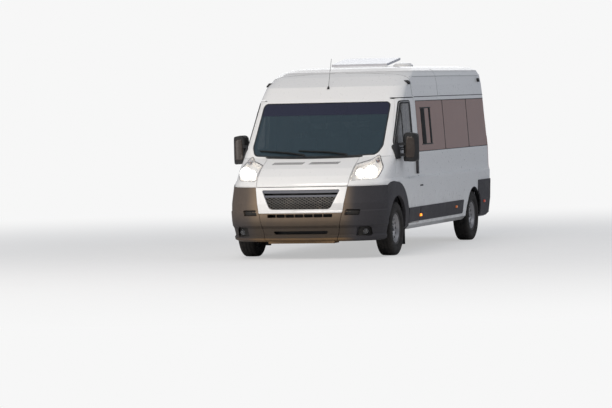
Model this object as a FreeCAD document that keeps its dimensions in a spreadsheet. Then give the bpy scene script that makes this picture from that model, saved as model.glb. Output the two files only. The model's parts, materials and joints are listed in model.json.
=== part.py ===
"""Long-wheelbase high-roof minibus: an assembly of separate panels, glazing, running gear and seats.

The origin is on the ground under the middle of the length. +X points forward, +Y to the vehicle's left and
+Z up. All sizes are millimetres. The outer form is a ruled loft through plan sections, one for each height
where the real body has a crease; every panel is cut out of it as a shell, so neighbours share one surface.
"""
import FreeCAD, Part
import math
import os

from FreeCAD import Placement, Rotation, Vector

doc = FreeCAD.newDocument("minibus")
sheet = doc.addObject("Spreadsheet::Sheet", "Sizes")

# alias, value, what it is
SIZES = [
    ("overall_length", 5998, "bumper to rear step"),
    ("front_overhang", 948, "front axle to bumper"),
    ("wheelbase", 4035, "axle to axle"),
    ("track_half_front", 910, "wheel centre from the middle plane"),
    ("track_half_rear", 895, "wheel centre from the middle plane"),
    ("kingpin_half", 720, "kingpin from the middle plane"),
    ("tyre_radius", 341, "215/70 R15"),
    ("tyre_width", 215, "section width"),
    ("rim_radius", 205, "over the flange"),
    ("rim_width", 176, "over the flanges"),
    ("spindle_radius", 30, "hub spindle"),
    ("spindle_gap", 0.1, "running clearance round a spindle"),
    ("arch_radius_front", 418, "front arch opening"),
    ("arch_radius_rear", 395, "rear arch opening"),
    ("arch_trim_radius", 585, "outside of the plastic arch trim"),
    ("housing_radius_front", 465, "inside of the front wheel housing"),
    ("housing_radius_rear", 400, "inside of the rear wheel housing"),
    ("wall", 50, "body side, door and roof thickness"),
    ("bonnet_wall", 30, "bonnet thickness"),
    ("bumper_wall", 40, "bumper moulding depth"),
    ("glass", 6, "pane thickness"),
    ("door_gap", 6, "shut line round a moving panel"),
    ("seam", 3, "gap between fixed panels"),
    ("gutter_height", 2000, "bottom of the high roof"),
    ("belt_height", 1285, "lower edge of the side glass"),
    ("glass_top", 1950, "upper edge of the side glass"),
    ("waist_height", 935, "widest line of the body side"),
    ("bonnet_low", 912, "front edge of the bonnet"),
    ("bonnet_high", 1222, "where the bonnet's sides turn upright"),
    ("bonnet_rear", 2397, "rear edge of the bonnet on the middle plane"),
    ("bonnet_bow", 133, "how far that edge is further back at the wings"),
    ("lamp_rear", 2140, "rear tip of a headlamp"),
    ("sill_low", 300, "bottom of the body side"),
    ("door_low", 385, "bottom of the front doors"),
    ("door_front", 2060, "front edge of the front doors"),
    ("door_rear", 930, "rear edge of the front doors"),
    ("door_top", 1988, "top edge of the front doors"),
    ("rear_door_half", 800, "outer edge of a rear door"),
    ("rear_door_low", 572, "bottom of the rear doors"),
    ("floor_top", 560, "load floor"),
    ("floor_thick", 60, "floor with its ribs"),
    ("floor_half", 925, "half width of the floor"),
    ("engine_length", 560, "engine and gearbox block"),
    ("engine_width", 820, "engine and gearbox block"),
    ("engine_height", 560, "engine and gearbox block"),
    ("hatch_length", 650, "roof hatch opening"),
    ("hatch_half", 360, "roof hatch opening"),
    ("hatch_front", 50, "front of the roof hatch"),
    ("hatch_open", 6.5, "degrees the lid stands open"),
    ("lid_thick", 32, "roof hatch lid"),
    ("lid_height", 2414, "underside of the lid at its hinge"),
    ("vent_radius", 140, "roof ventilator"),
    ("vent_height", 62, "roof ventilator"),
    ("steering_wheel_radius", 195, "rim centre line"),
    ("seat_width", 440, "one passenger cushion"),
    ("seat_pitch", 760, "row to row"),
    ("seat_row_front", 120, "middle of the first passenger row's cushions"),
    ("seat_driver", 1080, "middle of the front seats' cushions"),
    ("cushion_thick", 110, "seat cushion"),
    ("cushion_depth", 460, "seat cushion, front to back"),
    ("headrest_half", 130, "half width of a head restraint"),
    ("pane_edge", 34, "how far a side pane laps the panel round it"),
    ("door_pane_edge", 22, "how far a door pane laps its door"),
    ("trim_low", 392, "lower edge of the plastic sill panels"),
    ("trim_high", 578, "upper edge of the plastic sill panels"),
    ("corner_low", 312, "lower edge of the rear corner panels"),
    ("corner_high", 822, "upper edge of the rear corner panels"),
    ("trim_proud", 12, "how far the plastic panels stand out of the body"),
]
for row, (alias, value, note) in enumerate(SIZES, start=1):
    sheet.set(f"A{row}", note)
    sheet.set(f"B{row}", str(value))
    sheet.setAlias(f"B{row}", alias)
doc.recompute()


def size(alias):
    """One driving dimension, read from the sheet."""
    return float(sheet.get(alias))


NOSE = size("overall_length") / 2
TAIL = -NOSE
AXLE_FRONT = NOSE - size("front_overhang")
AXLE_REAR = AXLE_FRONT - size("wheelbase")
HUB = size("tyre_radius")
# Past the vehicle's end, side or top, for cutters that go right through
FAR = 4000
# How far cutters for the rear doors and lamps reach along the vehicle
BEHIND, REAR_REACH = TAIL - 100, -2600
MIDDLE = Vector(0, 0, 0)
ACROSS = Vector(0, 1, 0)

# Columns: height, front on the middle plane, front bow radius, front corner radius, half width, rear,
# then how far a wall moves in and down for each millimetre of thickness.
BODY_SECTIONS = [
    (300, 2850, 3200, 420, 940, -2915, 1.0, 0.0),
    (352, 2880, 3200, 430, 992, -2940, 1.0, 0.0),
    (560, 2890, 3200, 470, 1018, -2948, 1.0, 0.0),
    (925, 2892, 3000, 560, 1030, -2950, 1.0, 0.0),
    (950, 2879, 3000, 555, 1029, -2950, 1.0, 0.0),
    (990, 2848, 2950, 550, 1012, -2950, 1.0, 0.0),
    (1040, 2800, 2850, 530, 1010, -2950, 1.0, 0.0),
    (1130, 2660, 2750, 460, 1009, -2948, 1.0, 0.0),
    (1262, 2350, 2900, 260, 1008, -2944, 1.0, 0.0),
    (1960, 1690, 4000, 200, 960, -2902, 1.0, 0.0),
    (2000, 1640, 4000, 200, 956, -2898, 1.0, 0.0),
    (2150, 1430, 4200, 200, 944, -2885, 1.0, 0.0),
    (2275, 1130, 3800, 230, 924, -2868, 0.8, 0.5),
    (2342, 930, 3400, 260, 885, -2838, 0.5, 0.8),
    (2380, 740, 3000, 280, 810, -2790, 0.25, 1.0),
    (2398, 520, 2600, 260, 640, -2710, 0.0, 1.0),
    (2406, 0, 2000, 200, 360, -2450, 0.0, 1.0),
]
# The bumper moulding stands proud of the body, so it has its own sections in the same columns.
BUMPER_SECTIONS = [
    (222, 2895, 2700, 440, 955, 2200, 1.0, 0.0),
    (246, 2962, 2700, 450, 992, 2200, 1.0, 0.0),
    (284, 2968, 2700, 450, 998, 2200, 1.0, 0.0),
    (304, 2946, 2700, 450, 990, 2200, 1.0, 0.0),
    (392, 2962, 2700, 450, 1006, 2200, 1.0, 0.0),
    (424, 2990, 2700, 450, 1018, 2200, 1.0, 0.0),
    (480, NOSE, 2700, 455, 1024, 2200, 1.0, 0.0),
    (598, 2997, 2700, 470, 1036, 2200, 1.0, 0.0),
    (612, 2989, 2700, 470, 1029, 2200, 1.0, 0.0),
    (700, 2987, 2700, 490, 1032, 2200, 1.0, 0.0),
    (905, 2926, 2900, 560, 1033, 2200, 1.0, 0.0),
]
REAR_CORNER = 70
# Depth of the blind recesses in the bumper
RECESS = 27.0

nodes = {}


def node(label, item):
    """Names a finished sub-part. Its label is its file name."""
    item.Label = label
    nodes[label] = item
    return item


def feature(label, shape):
    """A sub-part whose shape comes from Part's own functions."""
    item = doc.addObject("Part::Feature", label)
    item.Shape = shape
    return node(label, item)


def plan_section(height, front, bow, corner, half, rear, inset):
    """A closed plan outline: bowed front, tangent corner arcs, straight sides, rounded rear corners."""
    front -= inset
    half -= inset
    rear += inset
    corner = max(corner - inset, 40)
    rear_corner = max(REAR_CORNER - inset, 15)
    bow_x = front - bow
    reach = math.sqrt((bow - corner) ** 2 - (half - corner) ** 2)
    corner_x, corner_y = bow_x + reach, half - corner
    turn = math.atan2(corner_y, reach)
    meet = (bow_x + bow * math.cos(turn), bow * math.sin(turn))
    mid_turn = (turn + math.pi / 2) / 2
    mid = (corner_x + corner * math.cos(mid_turn), corner_y + corner * math.sin(mid_turn))
    part = rear_corner * (1 - math.sqrt(0.5))

    def at(x, y):
        return Vector(x, y, height)

    def arc(a, b, c):
        return Part.Arc(at(*a), at(*b), at(*c)).toShape()

    def line(a, b):
        return Part.LineSegment(at(*a), at(*b)).toShape()

    rear_side, rear_end = rear + rear_corner, half - rear_corner
    return Part.Wire([
        arc((meet[0], -meet[1]), (front, 0), meet),
        arc(meet, mid, (corner_x, half)),
        line((corner_x, half), (rear_side, half)),
        arc((rear_side, half), (rear + part, half - part), (rear, rear_end)),
        line((rear, rear_end), (rear, -rear_end)),
        arc((rear, -rear_end), (rear + part, part - half), (rear_side, -half)),
        line((rear_side, -half), (corner_x, -half)),
        arc((corner_x, -half), (mid[0], -mid[1]), (meet[0], -meet[1])),
    ])


def hull(table, inset=0.0, beyond=0.0):
    """The solid inside the outer form, moved in by inset.

    beyond opens a shell underneath, and above where its top is a plain cut.
    """
    wires = []
    for index, (height, front, bow, corner, half, rear, pull, drop) in enumerate(table):
        if index == 0:
            height -= beyond
        elif index == len(table) - 1 and drop == 0:
            height += beyond
        wires.append(plan_section(height - drop * inset, front, bow, corner, half, rear, pull * inset))
    return Part.makeLoft(wires, True, True)


def shell(table, outside, inside):
    """The layer of the outer form between two insets, open underneath."""
    return hull(table, outside).cut(hull(table, inside, 20.0))


def rounded(points):
    """Edges of a closed outline in two coordinates. A third number at a point rounds that corner."""
    corners = []
    count = len(points)
    for index, point in enumerate(points):
        here = Vector(point[0], point[1], 0)
        if len(point) < 3:
            corners.append((here, None, here))
            continue
        before = points[index - 1]
        after = points[(index + 1) % count]
        to_before = Vector(before[0], before[1], 0).sub(here).normalize()
        to_after = Vector(after[0], after[1], 0).sub(here).normalize()
        half_angle = to_before.getAngle(to_after) / 2
        reach = point[2] / math.tan(half_angle)
        bisector = to_before.add(to_after).normalize()
        centre = here.add(bisector.multiply(point[2] / math.sin(half_angle)))
        start = here.add(to_before.multiply(reach))
        end = here.add(to_after.multiply(reach))
        to_corner = here.sub(centre).normalize()
        corners.append((start, centre.add(to_corner.multiply(point[2])), end))
    edges = []
    for index, (start, through, end) in enumerate(corners):
        if through is not None:
            edges.append(Part.Arc(start, through, end).toShape())
        following = corners[(index + 1) % count][0]
        if end.distanceToPoint(following) > 1e-6:
            edges.append(Part.LineSegment(end, following).toShape())
    return Part.Wire(edges)


TO_SIDE = Rotation(Vector(1, 0, 0), 90)
TO_FRONT = Rotation(Vector(1, 1, 1), 120)


def side_prism(points, low=0.0, high=FAR):
    """Side-view outline (x, z), swept across from y = low to y = high."""
    face = Part.Face(rounded(points))
    face.Placement = Placement(Vector(0, low, 0), TO_SIDE)
    return face.extrude(Vector(0, high - low, 0))


def front_prism(points, low, high=FAR):
    """Front-view outline (y, z), swept along from x = low to x = high."""
    face = Part.Face(rounded(points))
    face.Placement = Placement(Vector(low, 0, 0), TO_FRONT)
    return face.extrude(Vector(high - low, 0, 0))


def slab(x_range, y_range, z_range):
    """A box between two values on each axis."""
    low = [min(r) for r in (x_range, y_range, z_range)]
    high = [max(r) for r in (x_range, y_range, z_range)]
    return Part.makeBox(high[0] - low[0], high[1] - low[1], high[2] - low[2], Vector(*low))


def axle_disc(x, radius, low, high, z=HUB):
    """A cylinder across the vehicle."""
    return Part.makeCylinder(radius, high - low, Vector(x, low, z), ACROSS)


def mirror(shape):
    """The same piece on the other side."""
    return shape.mirror(MIDDLE, ACROSS)


def both(shape):
    """A piece and its mirror image, as separate solids."""
    return Part.makeCompound(shape.Solids + mirror(shape).Solids)


def grown(points, by):
    """An outline moved out by a shut line's width, or in where it is negative."""
    return rounded(points).makeOffset2D(by)


def side_cutter(points, by, low=0.0, high=FAR):
    """side_prism of an outline that is first moved out by a gap."""
    face = Part.Face(grown(points, by))
    face.Placement = Placement(Vector(0, low, 0), TO_SIDE)
    return face.extrude(Vector(0, high - low, 0))


def front_cutter(points, by, low, high=FAR):
    """front_prism of an outline that is first moved out by a gap."""
    face = Part.Face(grown(points, by))
    face.Placement = Placement(Vector(low, 0, 0), TO_FRONT)
    return face.extrude(Vector(high - low, 0, 0))


# Outlines, side view (x, z, corner radius)
WALL = size("wall")
SEAM = size("seam")
GAP = size("door_gap")
GUTTER = size("gutter_height")
BELT = size("belt_height")
GLASS_TOP = size("glass_top")
DOOR_ARC = size("arch_trim_radius") + 8


def front_door_outline():
    """Front door: A-pillar slope, straight rear edge and a lower front edge that follows the arch."""
    front, rear = size("door_front"), size("door_rear")
    low, top = size("door_low"), size("door_top")
    return [(front, 900), (front, 1330, 60), (1540, top, 110), (rear, top, 25), (rear, low, 40), (1300, low)]


DOOR_OUTLINE = front_door_outline()
# The arch trim's top ahead of the door, which rises into the wing and ends at the bumper
TRIM_CAP = [(2072, 700), (2467, 700), (2467, 890), (2448, 903, 10), (2370, 937, 60), (2240, 946, 200),
            (2120, 937, 200), (2072, 926)]
DOOR_WINDOW = [(1985, 1345, 45), (1952, 1430, 60), (1528, 1938, 60), (1130, 1938, 50), (1130, 1345, 50)]
SCREEN = [(-868, 1392, 90), (-812, 1283, 90), (-420, 1268, 400), (420, 1268, 400), (812, 1283, 90),
          (868, 1392, 90), (850, 1952, 65), (-850, 1952, 65)]
BONNET = [(-598, size("bonnet_low"), 25), (598, size("bonnet_low"), 25), (606, size("bonnet_high")),
          (608, 1400), (-608, 1400), (-606, size("bonnet_high"))]
LAMP = [(614, 978, 18), (915, 988, 60), (944, 1130, 90), (842, 1292, 24), (775, 1228, 80), (614, 1176, 18)]
GRILLE_PANEL = [(-545, 583, 12), (545, 583, 12), (598, 905, 8), (-598, 905, 8)]
GRILLE_OPENING = [(-395, 628, 70), (395, 628, 70), (512, 872, 14), (-512, 872, 14)]
SLIDING_DOOR = [(921, 345, 40), (921, 1988, 30), (-300, 1988, 30), (-300, 345, 40)]
# Front edge of a tail lamp, seen from the side
LAMP_FRONT = -2891
TAIL_LAMP = [(838, 970, 12), (FAR, 970), (FAR, 1420), (838, 1420, 12)]
# Where the windscreen frame ends and the wings begin, front view
SCUTTLE = [(-FAR, 1340), (-850, 1262), (-790, 1200), (-600, 1150), (600, 1150), (790, 1200), (850, 1262),
           (FAR, 1340)]

# Front and rear edges of the side panes. On the right they meet at the sliding door's rear edge.
PANES_LEFT = [(858, -542), (-550, -1836), (-1844, -2885)]
PANES_RIGHT = [(858, -292), (-300, -1590), (-1598, -2885)]
REAR_PANE = [(130, 1315, 50), (700, 1315, 50), (672, 1900, 60), (130, 1900, 50)]
PANE_EDGE = size("pane_edge")

# Axis of a rear door's hinges
HINGE_X = -2966
HINGE_Y = 812

body_solid = hull(BODY_SECTIONS)
body_shell = body_solid.cut(hull(BODY_SECTIONS, WALL, 20.0))
bumper_shell = shell(BUMPER_SECTIONS, 0.0, size("bumper_wall"))
glass_layer = shell(BODY_SECTIONS, 2.0, 2.0 + size("glass"))
glass_seat = shell(BODY_SECTIONS, -5.0, 3.0 + size("glass"))

door_block = side_prism(DOOR_OUTLINE, 300).cut(axle_disc(AXLE_FRONT, DOOR_ARC, 200, 1200))
door_hole = side_cutter(DOOR_OUTLINE, GAP, 300).cut(axle_disc(AXLE_FRONT, DOOR_ARC - GAP, 200, 1200))


def pane_outline(front, rear, edge=0.0, top=GLASS_TOP, low=BELT):
    """Side-view outline of one side pane, or of the opening behind it when edge is set."""
    return [(front - edge, low + edge, 25), (front - edge, top - edge, 25),
            (rear + edge, top - edge, 25), (rear + edge, low + edge, 25)]


def make_glazing():
    """Windscreen, side panes, door panes and rear door panes."""
    screen = glass_layer.common(front_prism([(y * 0.996, z, *r) for y, z, *r in SCREEN], 1200))
    feature("windscreen", screen)
    left = [glass_layer.common(side_prism(pane_outline(f, r))) for f, r in PANES_LEFT]
    right = [mirror(glass_layer.common(side_prism(pane_outline(f, r)))) for f, r in PANES_RIGHT]
    feature("side_windows", Part.makeCompound([s for pane in left + right for s in pane.Solids]))
    door_pane = glass_layer.common(side_prism(DOOR_WINDOW, 300))
    feature("door_glass_left", door_pane)
    feature("door_glass_right", mirror(door_pane))
    rear_pane = glass_layer.common(front_prism(REAR_PANE, BEHIND, REAR_REACH))
    feature("rear_glass_left", rear_pane)
    feature("rear_glass_right", mirror(rear_pane))


def make_roof():
    """High roof above the gutter, with the hatch hole."""
    hatch = slab((size("hatch_front") - size("hatch_length"), size("hatch_front")),
                 (-size("hatch_half"), size("hatch_half")), (2300, 2600))
    feature("roof", body_shell.common(slab((-FAR, FAR), (-FAR, FAR), (GUTTER, FAR))).cut(hatch))


def make_screen_frame():
    """A-pillars, header and scuttle round the windscreen."""
    ring = body_shell.common(slab((1300, FAR), (-FAR, FAR), (1145, GUTTER)))
    ring = ring.common(front_prism(SCUTTLE + [(FAR, GUTTER), (-FAR, GUTTER)], 1300))
    ring = ring.cut(front_cutter(BONNET, GAP, 1900).common(bonnet_rear(GAP)))
    ring = ring.cut(front_prism(SCREEN, 1200))
    lamp_hole = front_cutter(LAMP, SEAM, size("lamp_rear") - SEAM)
    ring = ring.cut(lamp_hole).cut(mirror(lamp_hole))
    ring = ring.cut(door_hole).cut(mirror(door_hole))
    ring = ring.cut(slab((1000, 1560), (-FAR, FAR), (1200, GUTTER - 1)))
    feature("screen_frame", ring)


def with_openings(panel, panes):
    """The body side with an opening behind each pane."""
    for front, rear in panes:
        panel = panel.cut(side_prism(pane_outline(front, rear, PANE_EDGE), 300))
    return panel


def make_side_panel():
    """Left body side from the door's rear edge to the rear corner, with its window openings."""
    front, foot = size("door_rear") - GAP, size("door_low") - GAP
    below = size("sill_low") - 10
    region = side_prism([(front, GUTTER), (front, foot), (1470, foot), (1470, below), (-FAR, below), (-FAR, GUTTER)],
                        300)
    panel = body_shell.common(region)
    panel = panel.cut(axle_disc(AXLE_REAR, size("arch_radius_rear"), 500, 1200))
    panel = panel.cut(axle_disc(AXLE_FRONT, size("arch_trim_radius") + SEAM, 500, 1200))
    half, low = size("rear_door_half"), size("rear_door_low")
    panel = panel.cut(front_cutter([(0, low), (half, low), (half, FAR), (0, FAR)], GAP, BEHIND, REAR_REACH))
    panel = panel.cut(front_prism(TAIL_LAMP, BEHIND, LAMP_FRONT + 3).common(shell(BODY_SECTIONS, -5.0, 36.0)))
    panel = panel.cut(slab((-FAR, -2700), (0, 800), (0, GUTTER)))
    seat = glass_seat.common(side_prism(pane_outline(PANES_LEFT[0][0] + SEAM, PANES_LEFT[-1][1] - SEAM, 0.0,
                                                     GLASS_TOP + SEAM, BELT - SEAM), 300))
    panel = panel.cut(seat)
    feature("side_panel_left", with_openings(panel, PANES_LEFT))
    right = mirror(with_openings(panel, PANES_RIGHT))
    sliding = mirror(side_prism(SLIDING_DOOR, 300))
    sliding_hole = mirror(side_cutter(SLIDING_DOOR, 4, 300))
    feature("sliding_door", right.common(sliding))
    feature("side_panel_right", right.cut(sliding_hole))


def make_front_doors():
    """Front doors: the shell inside the door outline, less the window."""
    door = body_shell.common(door_block).cut(side_cutter(DOOR_WINDOW, -size("door_pane_edge"), 300))
    door = door.cut(glass_seat.common(side_cutter(DOOR_WINDOW, SEAM, 300)))
    feature("door_left", door)
    feature("door_right", mirror(door))


def make_rear_doors():
    """Twin rear doors with their window openings."""
    half, low = size("rear_door_half"), size("rear_door_low")
    top = GUTTER - 12
    leaf = front_prism([(4, low), (half, low, 30), (half, top, 60), (4, top)], BEHIND, REAR_REACH)
    door = body_shell.common(leaf).cut(front_cutter(REAR_PANE, -size("door_pane_edge"), BEHIND, REAR_REACH))
    door = door.cut(glass_seat.common(front_cutter(REAR_PANE, SEAM, BEHIND, REAR_REACH)))
    feature("rear_door_left", door)
    feature("rear_door_right", mirror(door))


def bonnet_rear(back):
    """Everything ahead of the bonnet's bowed rear edge, seen in plan."""
    middle, half = size("bonnet_rear") - back, 760
    side = middle - size("bonnet_bow")
    edge = [Vector(side, -half, 0), Vector(middle, 0, 0), Vector(side, half, 0)]
    wire = Part.Wire([
        Part.Arc(*edge).toShape(),
        Part.LineSegment(edge[2], Vector(FAR, half, 0)).toShape(),
        Part.LineSegment(Vector(FAR, half, 0), Vector(FAR, -half, 0)).toShape(),
        Part.LineSegment(Vector(FAR, -half, 0), edge[0]).toShape(),
    ])
    return Part.Face(wire).extrude(Vector(0, 0, FAR))


def make_front_end():
    """Bonnet, wings, headlamps, bumper, grille panel and grille."""
    bonnet = shell(BODY_SECTIONS, 0.0, size("bonnet_wall")).common(front_prism(BONNET, 2000))
    feature("bonnet", bonnet.common(bonnet_rear(0)))
    lamp = shell(BODY_SECTIONS, 0.0, 60.0).common(front_prism(LAMP, size("lamp_rear")))
    fog = Part.makeCylinder(42, 400, Vector(2600, 800, 345), Vector(1, 0, 0))
    fog = fog.common(shell(BUMPER_SECTIONS, 10.0, RECESS))
    feature("headlamps", both(Part.makeCompound(lamp.Solids + fog.Solids)))

    wing_side = side_prism([(size("door_front") + GAP, size("bonnet_low") - 4), (1200, 905), (1200, 240),
                            (FAR, 240), (FAR, 1341), (size("door_front") + GAP, 1341)], 300)
    wing = body_shell.common(wing_side)
    wing = wing.cut(door_hole)
    hole = front_cutter(BONNET, GAP, 1900).common(bonnet_rear(GAP))
    wing = wing.cut(hole)
    wing = wing.cut(front_cutter(LAMP, SEAM, size("lamp_rear") - SEAM))
    edge = [(y, z - SEAM) for y, z in SCUTTLE]
    wing = wing.cut(front_prism(edge + [(FAR, FAR), (-FAR, FAR)], 1300))
    wing = wing.cut(slab((AXLE_FRONT, FAR), (-FAR, FAR), (0, size("bonnet_low") - 4)))
    wing = wing.cut(axle_disc(AXLE_FRONT, size("arch_trim_radius") + SEAM, 200, 1200))
    wing = wing.cut(side_cutter(TRIM_CAP, SEAM, 700))
    wing = wing.cut(slab((2000, FAR), (-FAR, 500), (0, FAR)))
    wing = wing.cut(slab((-FAR, size("door_front") + GAP), (-FAR, FAR), (0, FAR)))
    feature("front_wings", both(wing))

    reach = AXLE_FRONT + size("arch_radius_front")
    bumper = bumper_shell.cut(slab((-FAR, reach + 8), (-FAR, FAR), (0, FAR)))
    bumper = bumper.cut(front_cutter(GRILLE_PANEL, SEAM, 2000))
    pitch, slot = 122, 116
    half, low, high = slot / 2, 527, 569
    slots = [front_prism([(y - half, low, 8), (y + half, low, 8), (y + half, high, 8), (y - half, high, 8)], 2400)
             for y in (pitch * (n - 3) for n in range(7))]
    lower = front_prism([(-335, 316, 10), (335, 316, 10), (365, 356, 12), (-365, 356, 12)], 2400)
    upper_recess = front_prism([(568, 546, 10), (752, 546, 14), (770, 622, 14), (590, 628, 14)], 2400)
    fog_recess = front_prism([(696, 281, 20), (880, 281, 30), (872, 414, 40), (722, 410, 30)], 2400)
    recess_layer = shell(BUMPER_SECTIONS, -5.0, RECESS)
    recesses = [recess_layer.common(recess) for recess in (upper_recess, fog_recess)]
    for cut in slots + [lower] + recesses + [mirror(recess) for recess in recesses]:
        bumper = bumper.cut(cut)
    tray = slab((2700, 2915), (-430, 430), (200, 236))
    bumper = bumper.fuse(tray)
    split = front_prism([(543, 600), (549, 600), (463, 190), (457, 190)], 2400)
    bumper = bumper.cut(split).cut(mirror(split))
    feature("front_bumper", bumper)
    panel = bumper_shell.common(front_prism(GRILLE_PANEL, 2600)).cut(front_prism(GRILLE_OPENING, 2600))
    feature("grille_panel", panel)
    make_grille()


def make_grille():
    """Two broad bars over a diamond mesh, all in one moulding set back in the opening."""
    inset = Part.Face(grown(GRILLE_OPENING, -1))
    inset.Placement = Placement(Vector(2600, 0, 0), TO_FRONT)
    window = inset.extrude(Vector(1000, 0, 0))
    face_layer = shell(BUMPER_SECTIONS, 10.0, 26.0).common(window)
    mesh_layer = shell(BUMPER_SECTIONS, 16.0, 24.0).common(window)
    bars = [face_layer.common(slab((2600, FAR), (-600, 600), (low, high)))
            for low, high in ((832, 880), (782, 806), (620, 634))]
    pitch, wide, top, low = 58.0, 14.0, 790.0, 626.0
    slope = 0.55
    strands = []
    rise = top - low
    run = rise / slope
    start = -520 - run
    while start < 520:
        for lean in (1, -1):
            foot = start if lean > 0 else start + run
            head = foot + lean * run
            strands.append(front_prism([(foot, low), (foot + wide, low), (head + wide, top), (head, top)], 2600, 3100))
        start += pitch
    lattice = strands[0].multiFuse(strands[1:])
    mesh = mesh_layer.common(lattice)
    feature("grille", mesh.multiFuse(bars))


def make_cladding():
    """Dark lower panels: arch trims, sill panels, door panels and rear corners."""
    proud = -size("trim_proud")
    trim_layer = shell(BODY_SECTIONS, proud, 30.0)
    ring = axle_disc(AXLE_FRONT, size("arch_trim_radius"), 700, 1300).cut(
        axle_disc(AXLE_FRONT, size("arch_radius_front"), 600, 1400))
    ring = ring.common(slab((-FAR, AXLE_FRONT + size("arch_radius_front") + 4), (0, FAR), (200, 905 + 40)))
    cap = side_prism(TRIM_CAP, 700, 1300).cut(axle_disc(AXLE_FRONT, size("arch_radius_front"), 600, 1400))
    ring = ring.fuse(cap)
    layer = trim_layer.fuse(shell(BODY_SECTIONS[:3], proud, 30.0))
    trim = layer.common(ring)
    skin = shell(BODY_SECTIONS, proud, -0.5)
    low, high = size("trim_low"), size("trim_high")
    front, rear = size("door_rear") - 20, -1372
    sill = [(front, low, 8), (front, high, 8), (rear, high, 8), (rear, low, 45)]
    corner_front, corner_low, corner_high = -2212, size("corner_low"), size("corner_high")
    rear_corner = [(corner_front, corner_low, 20), (corner_front, corner_high, 20), (-FAR, corner_high),
                   (-FAR, corner_low)]
    corner = skin.common(side_prism(rear_corner, 804)).cut(
        axle_disc(AXLE_REAR, size("arch_radius_rear") + SEAM, 500, 1300))
    rows = [trim, skin.common(side_prism(sill, 300)), corner]
    feature("side_cladding", both(Part.makeCompound([solid for row in rows for solid in row.Solids])))
    door_strip = [(1470, low), (1470, high), (size("door_rear") + 4, high), (size("door_rear") + 4, low)]
    strip = skin.common(side_prism(door_strip, 300)).cut(axle_disc(AXLE_FRONT, DOOR_ARC + 2, 200, 1300))
    grip = side_prism([(1042, 1005, 14), (1042, 1236, 14), (992, 1236, 14), (992, 1005, 14)], 300)
    grip = shell(BODY_SECTIONS, -26.0, -0.5).common(grip)
    panel = Part.makeCompound(strip.Solids + grip.Solids)
    feature("door_panel_left", panel)
    feature("door_panel_right", mirror(panel))


def make_rear_end():
    """Rear step bumper and tail lamps."""
    lamp = shell(BODY_SECTIONS, -3.0, 33.0).common(front_prism(TAIL_LAMP, BEHIND, LAMP_FRONT))
    feature("tail_lamps", both(lamp))
    outline = [(TAIL, -760, 30), (TAIL, 760, 30), (-2960, 796, 10), (-2880, 796, 10), (-2880, -796, 10),
               (-2960, -796, 10)]
    body = doc.addObject("PartDesign::Body", "rear_bumper_body")
    sketch = sketch_polygon(body, "rear_bumper_sketch", "XY_Plane", outline)
    pad = body.newObject("PartDesign::Pad", "rear_bumper_pad")
    pad.Profile = sketch
    pad.setExpression("Length", "Sizes.rear_door_low - Sizes.sill_low - 30")
    body.setExpression("Placement.Base.z", "Sizes.sill_low + 15")
    node("rear_bumper", body)
    make_hinges()


def make_hinges():
    """Outside hinges of the twin rear doors, two a side: a round pin and its plate on the body corner."""
    hinges = []
    for z in (852, 1660):
        pin = Part.makeCylinder(9, 120, Vector(HINGE_X, HINGE_Y, z))
        plate = slab((HINGE_X - 4, -2860), (HINGE_Y - 4, HINGE_Y + 34), (z + 8, z + 112))
        hinges.append(pin.fuse(plate).cut(hull(BODY_SECTIONS, -0.5)))
    feature("rear_hinges", both(Part.makeCompound([solid for hinge in hinges for solid in hinge.Solids])))


def origin_plane(body, role):
    """One of a body's own origin planes."""
    return next(f for f in body.Origin.OriginFeatures if f.Role == role)


def sketch_polygon(body, name, role, points):
    """A sketch of a closed outline with rounded corners on one of the body's origin planes."""
    sketch = body.newObject("Sketcher::SketchObject", name)
    sketch.AttachmentSupport = [(origin_plane(body, role), "")]
    sketch.MapMode = "FlatFace"
    for edge in rounded(points).Edges:
        curve = edge.Curve
        if isinstance(curve, Part.Circle):
            ends = [v.Point for v in edge.Vertexes]
            middle = edge.valueAt((edge.FirstParameter + edge.LastParameter) / 2)
            sketch.addGeometry(Part.Arc(ends[0], middle, ends[1]), False)
        else:
            ends = [v.Point for v in edge.Vertexes]
            sketch.addGeometry(Part.LineSegment(ends[0], ends[1]), False)
    return sketch


def revolved(name, profile, centre):
    """A body turned about its own Y axis from a profile of (radius, y), placed at centre."""
    body = doc.addObject("PartDesign::Body", name + "_body")
    sketch = sketch_polygon(body, name + "_sketch", "XY_Plane", profile)
    turn = body.newObject("PartDesign::Revolution", name + "_turn")
    turn.Profile = sketch
    turn.ReferenceAxis = (sketch, ["V_Axis"])
    turn.Angle = 360
    body.Placement = Placement(Vector(*centre), Rotation())
    return body


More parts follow.
